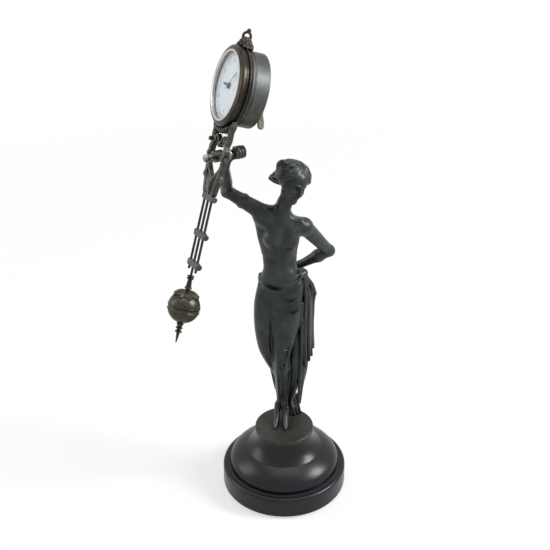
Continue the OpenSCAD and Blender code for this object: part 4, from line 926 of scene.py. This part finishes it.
def make_side_frame():
    """The cast frame: lyre arms under the bezel, side bars past the pivot, V strut and bosses."""
    clay = Clay((-22, -5.5, -32.5), (22, 5.5, 36), step=0.26, carry=in_clock)
    side = [(BAR_HALF + 0.4, 6), (BAR_HALF, 0), (BAR_HALF - 0.6, -7), (BOSS_X - 0.2, BOSS_Z),
            (LOW_HALF, FRAME_LOW)]
    lyre = [(LYRE_FOOT[0] + 4.2, LYRE_FOOT[1] + 4.5), (LYRE_FOOT[0] + 4.6, LYRE_FOOT[1]),
            (LYRE_FOOT[0] + 3, LYRE_FOOT[1] - 5), (BAR_HALF + 1, 14), (BAR_HALF - 1.4, 9.6),
            (BAR_HALF + 0.2, 4.6)]
    half = FRAME_D / 2
    for s in (-1, 1):
        clay.strip(mirrored(side, s), SIDE_W / 2, half, k=1)
        clay.strip(mirrored(lyre, s), [1.9, 1.8, 1.6, 1.5, 1.8, 2.1], half, k=1.2)
        clay.strip(mirrored(scroll(SCROLL_AT, 1.2, 4.6, -200, 60), s), 1, half - 0.3, k=0.7)
        clay.drum((s * SCROLL_AT[0], -half - 0.5, SCROLL_AT[1]), (0, 1, 0), 1.5, FRAME_D + 1, 0.7, 0.5)
        clay.strip(mirrored([(BAR_HALF - 1.4, 12), (7, 15.2), (3, 11.4), (-0.4, 9.2)], s),
                   [1.4, 1.1, 1, 1.2], half - 0.3, k=0.8)
        clay.strip(mirrored([(BAR_HALF - 1, -7.5), (6, -14), (-0.4, -19.5)], s), [1.5, 1.1, 1.4],
                   half - 0.2, k=1.2)
        # Sunk panels along the bars, front and rear
        for y in (-half, half):
            clay.strip(mirrored(side[1:], s), 0.75, 0.35, y, 0.3, 0.3, True)
            clay.strip(mirrored(lyre[:4], s), 0.55, 0.35, y, 0.3, 0.3, True)
        # Round head of the cross screw, facing outward
        clay.drum((s * (BOSS_X - 1), 0, BOSS_Z), (s, 0, 0), 3.1, 3.6, 0.8, 0.6)
        clay.drum((s * (BOSS_X - 1), 0, BOSS_Z), (s, 0, 0), 2.2, 4, 0.3, 0.3)
        clay.drum((s * (BAR_HALF - SIDE_W / 2), 0, 0), (s, 0, 0), 3.4, SIDE_W, 0.6, 0.5)
    # Where the V's arms meet, its stem, and the knot of the lyre arms
    clay.strip([(-0.2, STRUT_Z), (0.2, STRUT_Z)], 2.6, half, k=1, smooth=1)
    clay.strip([(0, STRUT_Z), (0, FRAME_LOW)], 1.5, half, k=0.8, smooth=1)
    clay.strip([(-0.2, TOP_PIN_Z), (0.2, TOP_PIN_Z)], 2.1, half, k=0.8, smooth=1)
    clay.drum((-BAR_HALF + 1.4, -half - 2.8, 11), (0, 1, 0), 1.7, 3.6, 0.6, 0.4)
    # The rim under the bezel, with a row of small leaves
    rim = [(BEZEL_R * sin(radians(a)), DIAL_H - BEZEL_R * cos(radians(a))) for a in range(-32, 33, 8)]
    low = [(x * (1 + RIM / 2 / BEZEL_R), z - RIM / 2) for x, z in rim]
    clay.strip(low, RIM / 2 + 0.2, half, edge=0.9, k=1, smooth=2)
    for x, z in low[1:-1]:
        for y in (-half - 0.2, half + 0.2):
            clay.chain([(x, y, z + 1.8), (x * 0.98, y * 1.25, z - 0.6), (x * 0.96, y * 0.9, z - 2.6)],
                       [0.9, 1.3, 0.5], 0.3, smooth=3)
    clay.drum((0, -half - 0.7, TOP_PIN_Z), (0, 1, 0), 1.2, FRAME_D + 1.4, 0.6, 0.3)
    clay.drum((0, -half - 0.7, STRUT_Z), (0, 1, 0), 1.4, FRAME_D + 1.4, 0.6, 0.3)
    # Room for the screw heads at the pivot, and for the bezel
    for x in (-1, 1):
        clay.drum((x * (BAR_HALF + SIDE_W / 2), 0, 0), (x, 0, 0), 2.6, 6, CRISP, CRISP, True)
    clay.drum((0, -BEZEL_Y - 2, DIAL_H), (0, 1, 0), BEZEL_R + ROOM, 20, CRISP, CRISP, True)
    clay.keep_side((0, 0, FRAME_LOW), (0, 0, -1))
    # Room for the cradle
    clay.strip([(-BAR_HALF + SIDE_W / 2 + 3.8, 0), (BAR_HALF - SIDE_W / 2 - 3.8, 0)], 3.8, FRAME_D,
               edge=CRISP, k=CRISP, take=True, smooth=1)
    clay.skin("side_frame_cast", FRAME_CAST, "clock", "side_frame")


def make_crossbars():
    """Bars across the rods, each with a round screw head at its right end."""
    for number, drop in enumerate(CROSSBARS):
        clay = Clay((-12.5, -3.5, -drop - 4), (16, 3.5, -drop + 4), step=0.22, carry=in_clock)
        half = CROSS_L / 2
        clay.strip([(-half + 2.5, -drop), (half - 2.5, -drop)], CROSS_H / 2, CROSS_D / 2, edge=0.45,
                   smooth=1)
        for s in (-1, 1):
            # Square ends
            clay.strip([(s * (half - 1.2), -drop + 1.3), (s * (half - 1.2), -drop - 1.3)], 1.2,
                       CROSS_D / 2, edge=0.35, k=0.1, smooth=1)
            clay.drum((s * ROD_GAP, 0, -drop - CROSS_H / 2 - 0.4), (0, 0, 1), PIN_R, CROSS_H + 0.8, 0.3)
        clay.drum((0, 0, -drop - CROSS_H / 2 - 0.4), (0, 0, 1), PIN_R, CROSS_H + 0.8, 0.3)
        clay.drum((half - 0.3, 0, -drop), (1, 0, 0), 1.7, 0.8, 0.1)
        clay.drum((half + 0.3, 0, -drop), (1, 0, 0), CROSS_H / 2 - 0.1, 2.9, 0.8)
        clay.skin(f"crossbar_{number + 1}", FRAME_CAST, "clock", *(("crossbars",) if number == 0 else ()))


def make_column():
    """The turned column between rods and ball, its collar, and the threaded rod through the ball."""
    end = BOB_Z + BOB_R + 1.6
    top = COLLAR_Z
    under_collar = top - 3.2
    profile = [(0, top + 0.3), (1.9, top + 0.2), *arc(2.3, top - 0.5, 0.6, 80, -80, 6), (1.7, top - 1.4),
               *arc(2.2, top - 2.3, 0.65, 80, -80, 6), (1.35, under_collar)]
    # Rings that widen towards the ball
    count = 6
    step = (under_collar - end - 2.2) / count
    for i in range(count):
        at = under_collar - (i + 0.5) * step
        wide = 1.3 + 0.11 * i
        profile += arc(wide, at, 0.46 * step, 85, -85, 6)
        profile.append((wide - 0.35, at - step / 2))
    profile += [(2.2, end + 1.9), *arc(2.2, end + 1.05, 0.8, 70, -70, 6), (1.3, end),
                (1.3, BOB_Z - BOB_R - 2.6), (0, BOB_Z - BOB_R - 2.6)]
    lathe("column_turned", profile, in_clock, TURNED_BRASS, "clock", "column")


def make_ball():
    """The ball: two spun halves, a bead on each at the joint."""
    def dome(up, start, end, count=24):
        """Half of the ball, above its joint or below, between two angles from the joint."""
        out = []
        for i in range(count + 1):
            a = radians(start + (end - start) * i / count)
            out.append((BOB_R * cos(a), BOB_Z + up * BOB_R * sin(a)))
        return out
    upper = [(1.5, BOB_Z + BOB_R - 0.1), *dome(1, 83, 8), (12.6, BOB_Z + 1.6),
             *arc(12.5, BOB_Z + 0.95, 0.55, 75, -75, 8), (12.45, BOB_Z + 0.2), (11.8, BOB_Z + 0.02)]
    lower = [(11.8, BOB_Z), (12.5, BOB_Z - 0.05), (12.6, BOB_Z - 0.4), (12.45, BOB_Z - 2),
             *arc(12.45, BOB_Z - 2.7, 0.5, 75, -75, 8), (12.35, BOB_Z - 3.3),
             *dome(-1, 15.5, 83), (1.5, BOB_Z - BOB_R + 0.1)]
    lathe("ball_upper", upper, in_clock, BALL_BRASS, "bob", "bob_upper_shell")
    lathe("ball_lower", lower, in_clock, BALL_BRASS, "bob", "bob_lower_shell")


def on_ball(angle, polar, lift):
    """A point lift above the ball, polar degrees from its top."""
    r, p = BOB_R + lift, radians(polar)
    return (r * sin(p) * cos(angle), r * sin(p) * sin(angle), BOB_Z + r * cos(p))


def make_leaf_cap():
    """Eight lobed leaves that lie over the ball with curled tips."""
    clay = Clay((-13.5, -13.5, BOB_Z + 4.5), (13.5, 13.5, BOB_Z + 17.2), step=0.25, carry=in_clock)
    clay.drum((0, 0, BOB_Z + BOB_R - 0.9), (0, 0, 1), 3, 1.5, 0.6, 0.4)
    leaves = 8
    for leaf in range(leaves):
        a = leaf * 2 * pi / leaves
        clay.chain([on_ball(a, 8, -0.7), on_ball(a, 20, -1.2), on_ball(a, 33, -1.3),
                    on_ball(a, 43, -0.5), on_ball(a, 48, 0.8)], [1.5, 2.2, 2.6, 1.8, 0.9], 0.4, smooth=3)
        # Lobes on both sides, and a groove beside the rib
        for s in (-1, 1):
            for polar, spread, size in ((22, 0.24, 1.0), (31, 0.3, 1.15), (39, 0.27, 1.0)):
                clay.chain([on_ball(a, polar - 7, 0), on_ball(a + s * spread, polar, 0),
                            on_ball(a + s * (spread + 0.03), polar + 4, 0.5)], [0.8, size, 0.5], 0.3)
            clay.chain([on_ball(a + s * 0.05, 14, 1.1), on_ball(a + s * 0.1, 26, 1.45),
                        on_ball(a + s * 0.15, 37, 1.4)], 0.32, 0.2, True)
        clay.chain([on_ball(a, 10, 0.7), on_ball(a, 24, 1.1), on_ball(a, 38, 1.2), on_ball(a, 47, 1.3)],
                   [0.4, 0.5, 0.45, 0.3], 0.3)
        # Small leaf between two big ones
        b = a + pi / leaves
        clay.chain([on_ball(b, 16, -0.3), on_ball(b, 32, -0.5), on_ball(b, 41, 0)], [1, 1.2, 0.7], 0.3)
    # Room for the ball and the column's rod
    clay.lump((0, 0, BOB_Z), (BOB_R + 0.12,) * 3, CRISP, take=True)
    clay.drum((0, 0, BOB_Z), (0, 0, 1), 1.4, 30, CRISP, CRISP, True)
    clay.skin("leaf_cap_cast", LEAF_BRASS, "bob", "bob_leaf_cap")


def make_finial():
    """The rating nut under the ball: a bell, two discs and a spike."""
    top = BOB_Z - BOB_R - 0.1
    profile = [(1.4, top), (2.7, top), *arc(2.4, top - 0.6, 0.5, 60, -60, 6), (2.6, top - 1.3),
               (2.3, top - 2), (1.95, top - 2.9), (1.9, top - 3.3), *arc(2.3, top - 4.1, 0.55, 80, -80, 8),
               (1.7, top - 5), (1.55, top - 5.9), *arc(2.1, top - 7, 0.75, 80, -80, 8), (1.5, top - 8.1),
               (1.25, top - 9), (1.0, top - 12), (0.45, TIP_Z + 0.5), (0.2, TIP_Z), (0, TIP_Z)]
    lathe("finial_turned", profile, in_clock, TURNED_BRASS, "nut", "rating_nut")


def at_dial_height(points):
    """Clock coordinates counted from the dial's centre, as world coordinates."""
    return in_clock(np.asarray(points, float) + (0, 0, DIAL_H))


# How far the silvering goes out from the dial's opening
SILVERED_WIDE = 1.6


def make_case():
    """Bezel, moulding behind it and drum, as turned pieces with the mouldings of the photo."""
    y = -BEZEL_Y
    bezel = [(SIGHT_R, y + 0.95), (SIGHT_R, y + 0.35), (SIGHT_R + 0.5, y), (SIGHT_R + 1.5, y),
             (SIGHT_R + 1.9, y + 0.35), *arc(BEZEL_R - 2.1, y + 2.9, 2.3, -84, -14, 10),
             (BEZEL_R, y + 2.7), (BEZEL_R, y + 4.4), *arc(BEZEL_R - 1.05, y + 5.1, 0.45, -60, 60, 6),
             (BEZEL_R - 0.9, -1.0), (DRUM_R - 0.5, -1.0), (DRUM_R - 0.5, y + 3),
             (SIGHT_R + 1.3, y + 3), (SIGHT_R + 1.3, y + 0.95), (SIGHT_R, y + 0.95)]
    ring = lathe("bezel_turned", bezel, at_dial_height, BRONZED, "clock", "bezel", axis="y", count=192)
    ring.data.materials.append(SILVERED)
    for face in ring.data.polygons:
        x, _, z = CLOCK_TURN.T @ (np.array(face.center) / MM - PIVOT) - (0, 0, DIAL_H)
        # The sight edge and the wall before the dial keep their silvering
        face.material_index = int(sqrt(x * x + z * z) < SIGHT_R + SILVERED_WIDE)
    band = [(DRUM_R, -0.99), (BEZEL_R - 0.5, -0.99), *arc(BEZEL_R - 1.15, 0.7, 1.1, -80, 80, 10),
            (DRUM_R + 1.3, 2.0), *arc(DRUM_R + 0.75, 2.6, 0.5, -60, 80, 6), (DRUM_R + 0.5, 3.4),
            (DRUM_R, 3.4), (DRUM_R, -0.99)]
    lathe("moulding_turned", band, at_dial_height, BRONZED, "clock", "bezel_band", axis="y", count=192)
    rear = DRUM_Y - 0.5
    case = [(DRUM_R - 0.5, -0.98), (DRUM_R - 0.02, -0.98), (DRUM_R - 0.02, 4.6),
            *arc(DRUM_R - 0.02, 5.2, 0.25, -80, 80, 6), (DRUM_R - 0.3, 5.75), (DRUM_R - 0.3, 6.05),
            (DRUM_R, 6.3), (DRUM_R, rear - 0.05), (DRUM_R - 0.5, rear - 0.02), (DRUM_R - 0.5, -0.98)]
    lathe("drum_spun", case, at_dial_height, DRUM_SKIN, "clock", "drum_case", axis="y", count=192)


def make_crest():
    """The cast crest on the bezel: tiers of curled leaves, an oval loop and a knob."""
    clay = Clay((-12, -7, DIAL_H + 22), (12, 10, CREST_TOP + 1), step=0.24, carry=in_clock)
    middle = 1.6
    # Tiers of curled leaves, each smaller than the one below
    for half_x, half_y, lift, count in ((8.8, 5.2, 0.6, 14), (6.4, 3.8, 2.8, 10), (4, 2.8, 4.8, 8)):
        top = BEZEL_TOP + lift
        clay.lump((0, middle, top - 0.6), (half_x * 0.9, half_y * 0.9, 2.6), 0.8)
        for i in range(count):
            a = 2 * pi * (i + 0.5) / count
            x, y = half_x * cos(a), half_y * sin(a)
            sag = BEZEL_R - sqrt(BEZEL_R ** 2 - x * x)
            clay.chain([(0.55 * x, middle + 0.55 * y, top + 1.2),
                        (0.85 * x, middle + 0.85 * y, top + 1.1 - sag),
                        (x, middle + y, top - 0.2 - sag),
                        (1.04 * x, middle + 1.1 * y, top - 1.6 - sag)],
                       [1.2, 1.35, 1.1, 0.6], 0.35, smooth=3)
    # Stem, heel behind it, loop and knob
    clay.chain([(0, middle, BEZEL_TOP - 1), (0, middle, LOOP_Z - 3.6)], [4, 1.8], 0.8, smooth=1)
    clay.lump((0, middle + 3.2, BEZEL_TOP - 2), (6.5, 2.4, 2.4), 0.6)
    ring = [(1.5 * sin(radians(a)), middle - 0.1 + 2.5 * sin(radians(a)), LOOP_Z + 3.3 * cos(radians(a)))
            for a in range(0, 361, 30)]
    clay.chain(ring, 1.05, 0.3, smooth=3)
    clay.lump((0, 2.2, CREST_TOP - 1.7), (1.7, 1.7, 1.65), 0.3)
    # Room for bezel, moulding and drum
    clay.drum((0, -BEZEL_Y - 3, DIAL_H), (0, 1, 0), BEZEL_R + ROOM, BEZEL_Y + 3 + 3.4, CRISP, CRISP,
              True)
    clay.drum((0, 0, DIAL_H), (0, 1, 0), DRUM_R + ROOM, 20, CRISP, CRISP, True)
    clay.skin("crest_cast", CREST_CAST, "clock", "crest")


def make_key():
    """The winding key: a hub with two broad wings that stand out from the rear."""
    reach = KEY_TIP - BARREL_AT
    span = np.linalg.norm(reach)
    along, aside = reach / span, np.array([-reach[1], reach[0]]) / span

    def on_key(points):
        """Key coordinates: x along the wings, y through them, z along the arbor."""
        points = np.asarray(points, float)
        flat = points[:, :1] * along + points[:, 1:2] * aside + BARREL_AT
        return at_dial_height(np.column_stack([flat[:, 0], DRUM_Y + points[:, 2], flat[:, 1]]))

    clay = Clay((-span, -4, -1), (span + 3, 4, 8), step=0.24, carry=on_key)
    clay.drum((0, 0, 0.5), (0, 0, 1), 2.5, 5.6, 0.4, 0.3)
    for tip in (span - 2.4, -0.5 * span):
        clay.strip([(0, 4.2), (0.45 * tip, 4.2), (0.8 * tip, 4), (tip, 4)], [1.8, 1.7, 2.7, 2.6], 0.75,
                   edge=0.6, k=0.6)
    # Room for the winding arbor
    clay.drum((0, 0, -1), (0, 0, 1), 1.7, 8, CRISP, CRISP, True)
    clay.skin("key_cast", KEY_SKIN, "winder", "winding_key")


def make_bar():
    """The held bar: a turned tip with a groove darkened by painted shade, and a washer against the hand."""
    front = -BAR_FRONT - 1.2
    profile = [(0, front), (2.0, front), (2.75, front + 0.6), (2.9, front + 1.1), (2.9, front + 2.9),
               (2.2, front + 3.1), (2.2, front + 3.9), (2.9, front + 4.1), (2.9, front + 4.6),
               (2.4, front + 4.8), (2.4, GRIP - 10.4), (4.2, GRIP - 10.3), (4.4, GRIP - 9.9),
               (4.4, GRIP - 8.7), (4.2, GRIP - 8.3), (2.4, GRIP - 8.2), (2.4, GRIP + 2.4),
               (2.1, GRIP + 2.8), (0, GRIP + 2.8)]
    lathe("bar_turned", profile, along_bar, BAR_STEEL, "stand", "pivot_bar", axis="y", count=64)


# The enamel's face, the ink's height on it, the minute track's two circles, and half the width of
# its lines, minute marks and hour marks
ENAMEL_Y = -3.6
INK_HIGH = 0.012
TRACK = (22.7, 23.5)
LINE_HALF, MINUTE_HALF, HOUR_HALF = 0.05, 0.06, 0.16
# Numerals: the circle they stand on, their size, and how much narrower than drawn they are
NUMERAL_R = 19.2
NUMERAL_SIZE = 4.4
NUMERAL_WIDE = 0.8


def make_dial_print():
    """Plain numerals and a minute track, printed on the enamel."""
    face_y = ENAMEL_Y - INK_HIGH
    points, faces = [], []

    def quad(corners):
        """A flat patch of ink."""
        faces.append(tuple(range(len(points), len(points) + len(corners))))
        points.extend((x, face_y, z) for x, z in corners)

    def mark(angle, r0, r1, wide):
        """A stroke that points at the dial's centre, from radius r0 to r1."""
        a = radians(angle)
        out, side = (sin(a), cos(a)), (cos(a), -sin(a))
        quad([(out[0] * r + side[0] * w, out[1] * r + side[1] * w)
              for r, w in ((r0, -wide), (r0, wide), (r1, wide), (r1, -wide))])

    for minute in range(60):
        mark(6 * minute, *TRACK, MINUTE_HALF if minute % 5 else HOUR_HALF)
    for ring in TRACK:
        low, high = ring - LINE_HALF, ring + LINE_HALF
        for i in range(180):
            a, b = radians(2 * i), radians(2 * i + 2)
            quad([(r * sin(t), r * cos(t)) for r, t in ((low, a), (high, a), (high, b), (low, b))])
    scene = bpy.context.scene
    for hour in range(1, 13):
        letter = bpy.data.curves.new("numeral", "FONT")
        letter.body = str(hour)
        letter.size = NUMERAL_SIZE
        letter.align_x = "CENTER"
        letter.resolution_u = 3
        holder = bpy.data.objects.new("numeral", letter)
        scene.collection.objects.link(holder)
        flat = bpy.data.meshes.new_from_object(holder)
        a = radians(30 * hour)
        middle = sum((v.co.y for v in flat.vertices), 0) / len(flat.vertices)
        start = len(points)
        for v in flat.vertices:
            points.append((NUMERAL_WIDE * v.co.x + NUMERAL_R * sin(a), face_y,
                           v.co.y - middle + NUMERAL_R * cos(a)))
        faces.extend(tuple(start + i for i in p.vertices) for p in flat.polygons)
        bpy.data.objects.remove(holder)
        bpy.data.curves.remove(letter)
        bpy.data.meshes.remove(flat)
    mesh = bpy.data.meshes.new("dial_print")
    mesh.from_pydata((at_dial_height(points) * MM).tolist(), [], faces)
    place(mesh, "dial_print", PRINT_INK, "clock")


def dress(finishes):
    """A finish for every CAD node that is seen as it is."""
    for material, names in finishes:
        for name in names.split():
            node = nodes[name]
            node.data.materials.clear()
            node.data.materials.append(material)


def seen_background(tree, soft, share, clear_at=0.0):
    """soft for the light it gives, and a share of plain white for what camera, metal and glass see.
    The share grows to all white at clear_at metres from the object."""
    ray = add(tree, "ShaderNodeLightPath")
    seen = ray.outputs["Is Camera Ray"]
    for mirrored_too in ("Is Glossy Ray", "Is Transmission Ray"):
        either = add(tree, "ShaderNodeMath", [(0, seen), (1, ray.outputs[mirrored_too])],
                     operation="MAXIMUM")
        seen = either.outputs[0]
    amount = add(tree, "ShaderNodeMapRange", [("Value", seen)], To_Max=share)
    if clear_at:
        spot = add(tree, "ShaderNodeNewGeometry")
        away = add(tree, "ShaderNodeVectorMath", [(0, spot.outputs["Position"])], operation="LENGTH")
        white_here = add(tree, "ShaderNodeMapRange", [("Value", away.outputs["Value"])],
                         From_Min=SHADOW_REACH, From_Max=clear_at, To_Min=share, To_Max=1.0)
        tree.links.new(white_here.outputs[0], amount.inputs["To Max"])
    white = add(tree, "ShaderNodeEmission", Color=(1, 1, 1, 1), Strength=1.0)
    both = add(tree, "ShaderNodeMixShader", [(0, amount.outputs[0]), (1, soft.outputs[0]),
                                             (2, white.outputs[0])])
    return both.outputs[0]


def make_stage():
    """A pale plain floor, a white background, a key light from the right and two fainter ones."""
    mesh = bpy.data.meshes.new("floor")
    corners = [(x * FLOOR_HALF, y * FLOOR_HALF, 0) for x, y in ((-1, -1), (1, -1), (1, 1), (-1, 1))]
    mesh.from_pydata(corners, [], [(0, 1, 2, 3)])
    floor = bpy.data.objects.new("floor", mesh)
    floor.location.z = -FLOOR_DROP
    bpy.context.scene.collection.objects.link(floor)
    material, tree = new_material("pale_floor")
    matt = add(tree, "ShaderNodeBsdfDiffuse", Color=linear("#f4f4f4"))
    tree.links.new(seen_background(tree, matt, FLOOR_WHITE, FLOOR_CLEAR),
                   add(tree, "ShaderNodeOutputMaterial").inputs["Surface"])
    mesh.materials.append(material)
    world = bpy.data.worlds.new("studio")
    bpy.context.scene.world = world
    world.use_nodes = True
    tree = world.node_tree
    tree.nodes.clear()
    soft = add(tree, "ShaderNodeBackground", Color=linear("#e6e9ee"), Strength=WORLD_LIGHT)
    tree.links.new(seen_background(tree, soft, 1.0),
                   add(tree, "ShaderNodeOutputWorld").inputs["Surface"])
    for name, at, size, power in LAMPS:
        data = bpy.data.lights.new(name, "AREA")
        data.shape = "RECTANGLE"
        data.size, data.size_y = size
        data.energy = power
        light = bpy.data.objects.new(name, data)
        light.location = at
        aim = Vector(LAMPS_AIM) - Vector(at)
        light.rotation_euler = aim.to_track_quat("-Z", "Y").to_euler()
        bpy.context.scene.collection.objects.link(light)


make_body()
make_raised_arm()
make_bent_arm()
make_head()
make_side_frame()
make_crossbars()
make_column()
make_ball()
make_leaf_cap()
make_finial()
make_case()
make_crest()
make_key()
make_bar()
make_dial_print()
dress([
    (EBONISED, "base_foot base_socle"), (GROUND_CAST, "ground_disc"), (FELT, "felt_pad"),
    (PLAIN_STEEL, "fixing_washer fixing_bolt"), (FRAME_CAST, "pivot_cradle trunnion_screws"),
    (ROD_STEEL, "rods"), (LEAD, "bob_weight balance_weight"), (GLASS, "glass"), (ENAMEL, "dial"),
    (DRUM_SKIN, "rear_cover"), (NICKEL, "set_knob"),
    (GILT, "front_plate back_plate pillars plate_screws barrel centre_wheel third_wheel "
           "fourth_wheel pallet_cock minute_wheel hour_wheel"),
    (BLUED, "hour_hand minute_hand mainspring"),
    (PLAIN_STEEL, "winding_arbor click escape_wheel pallet_anchor hidden_pendulum centre_arbor"),
])
aim_camera()
make_stage()
bpy.context.scene.view_settings.view_transform = "Standard"
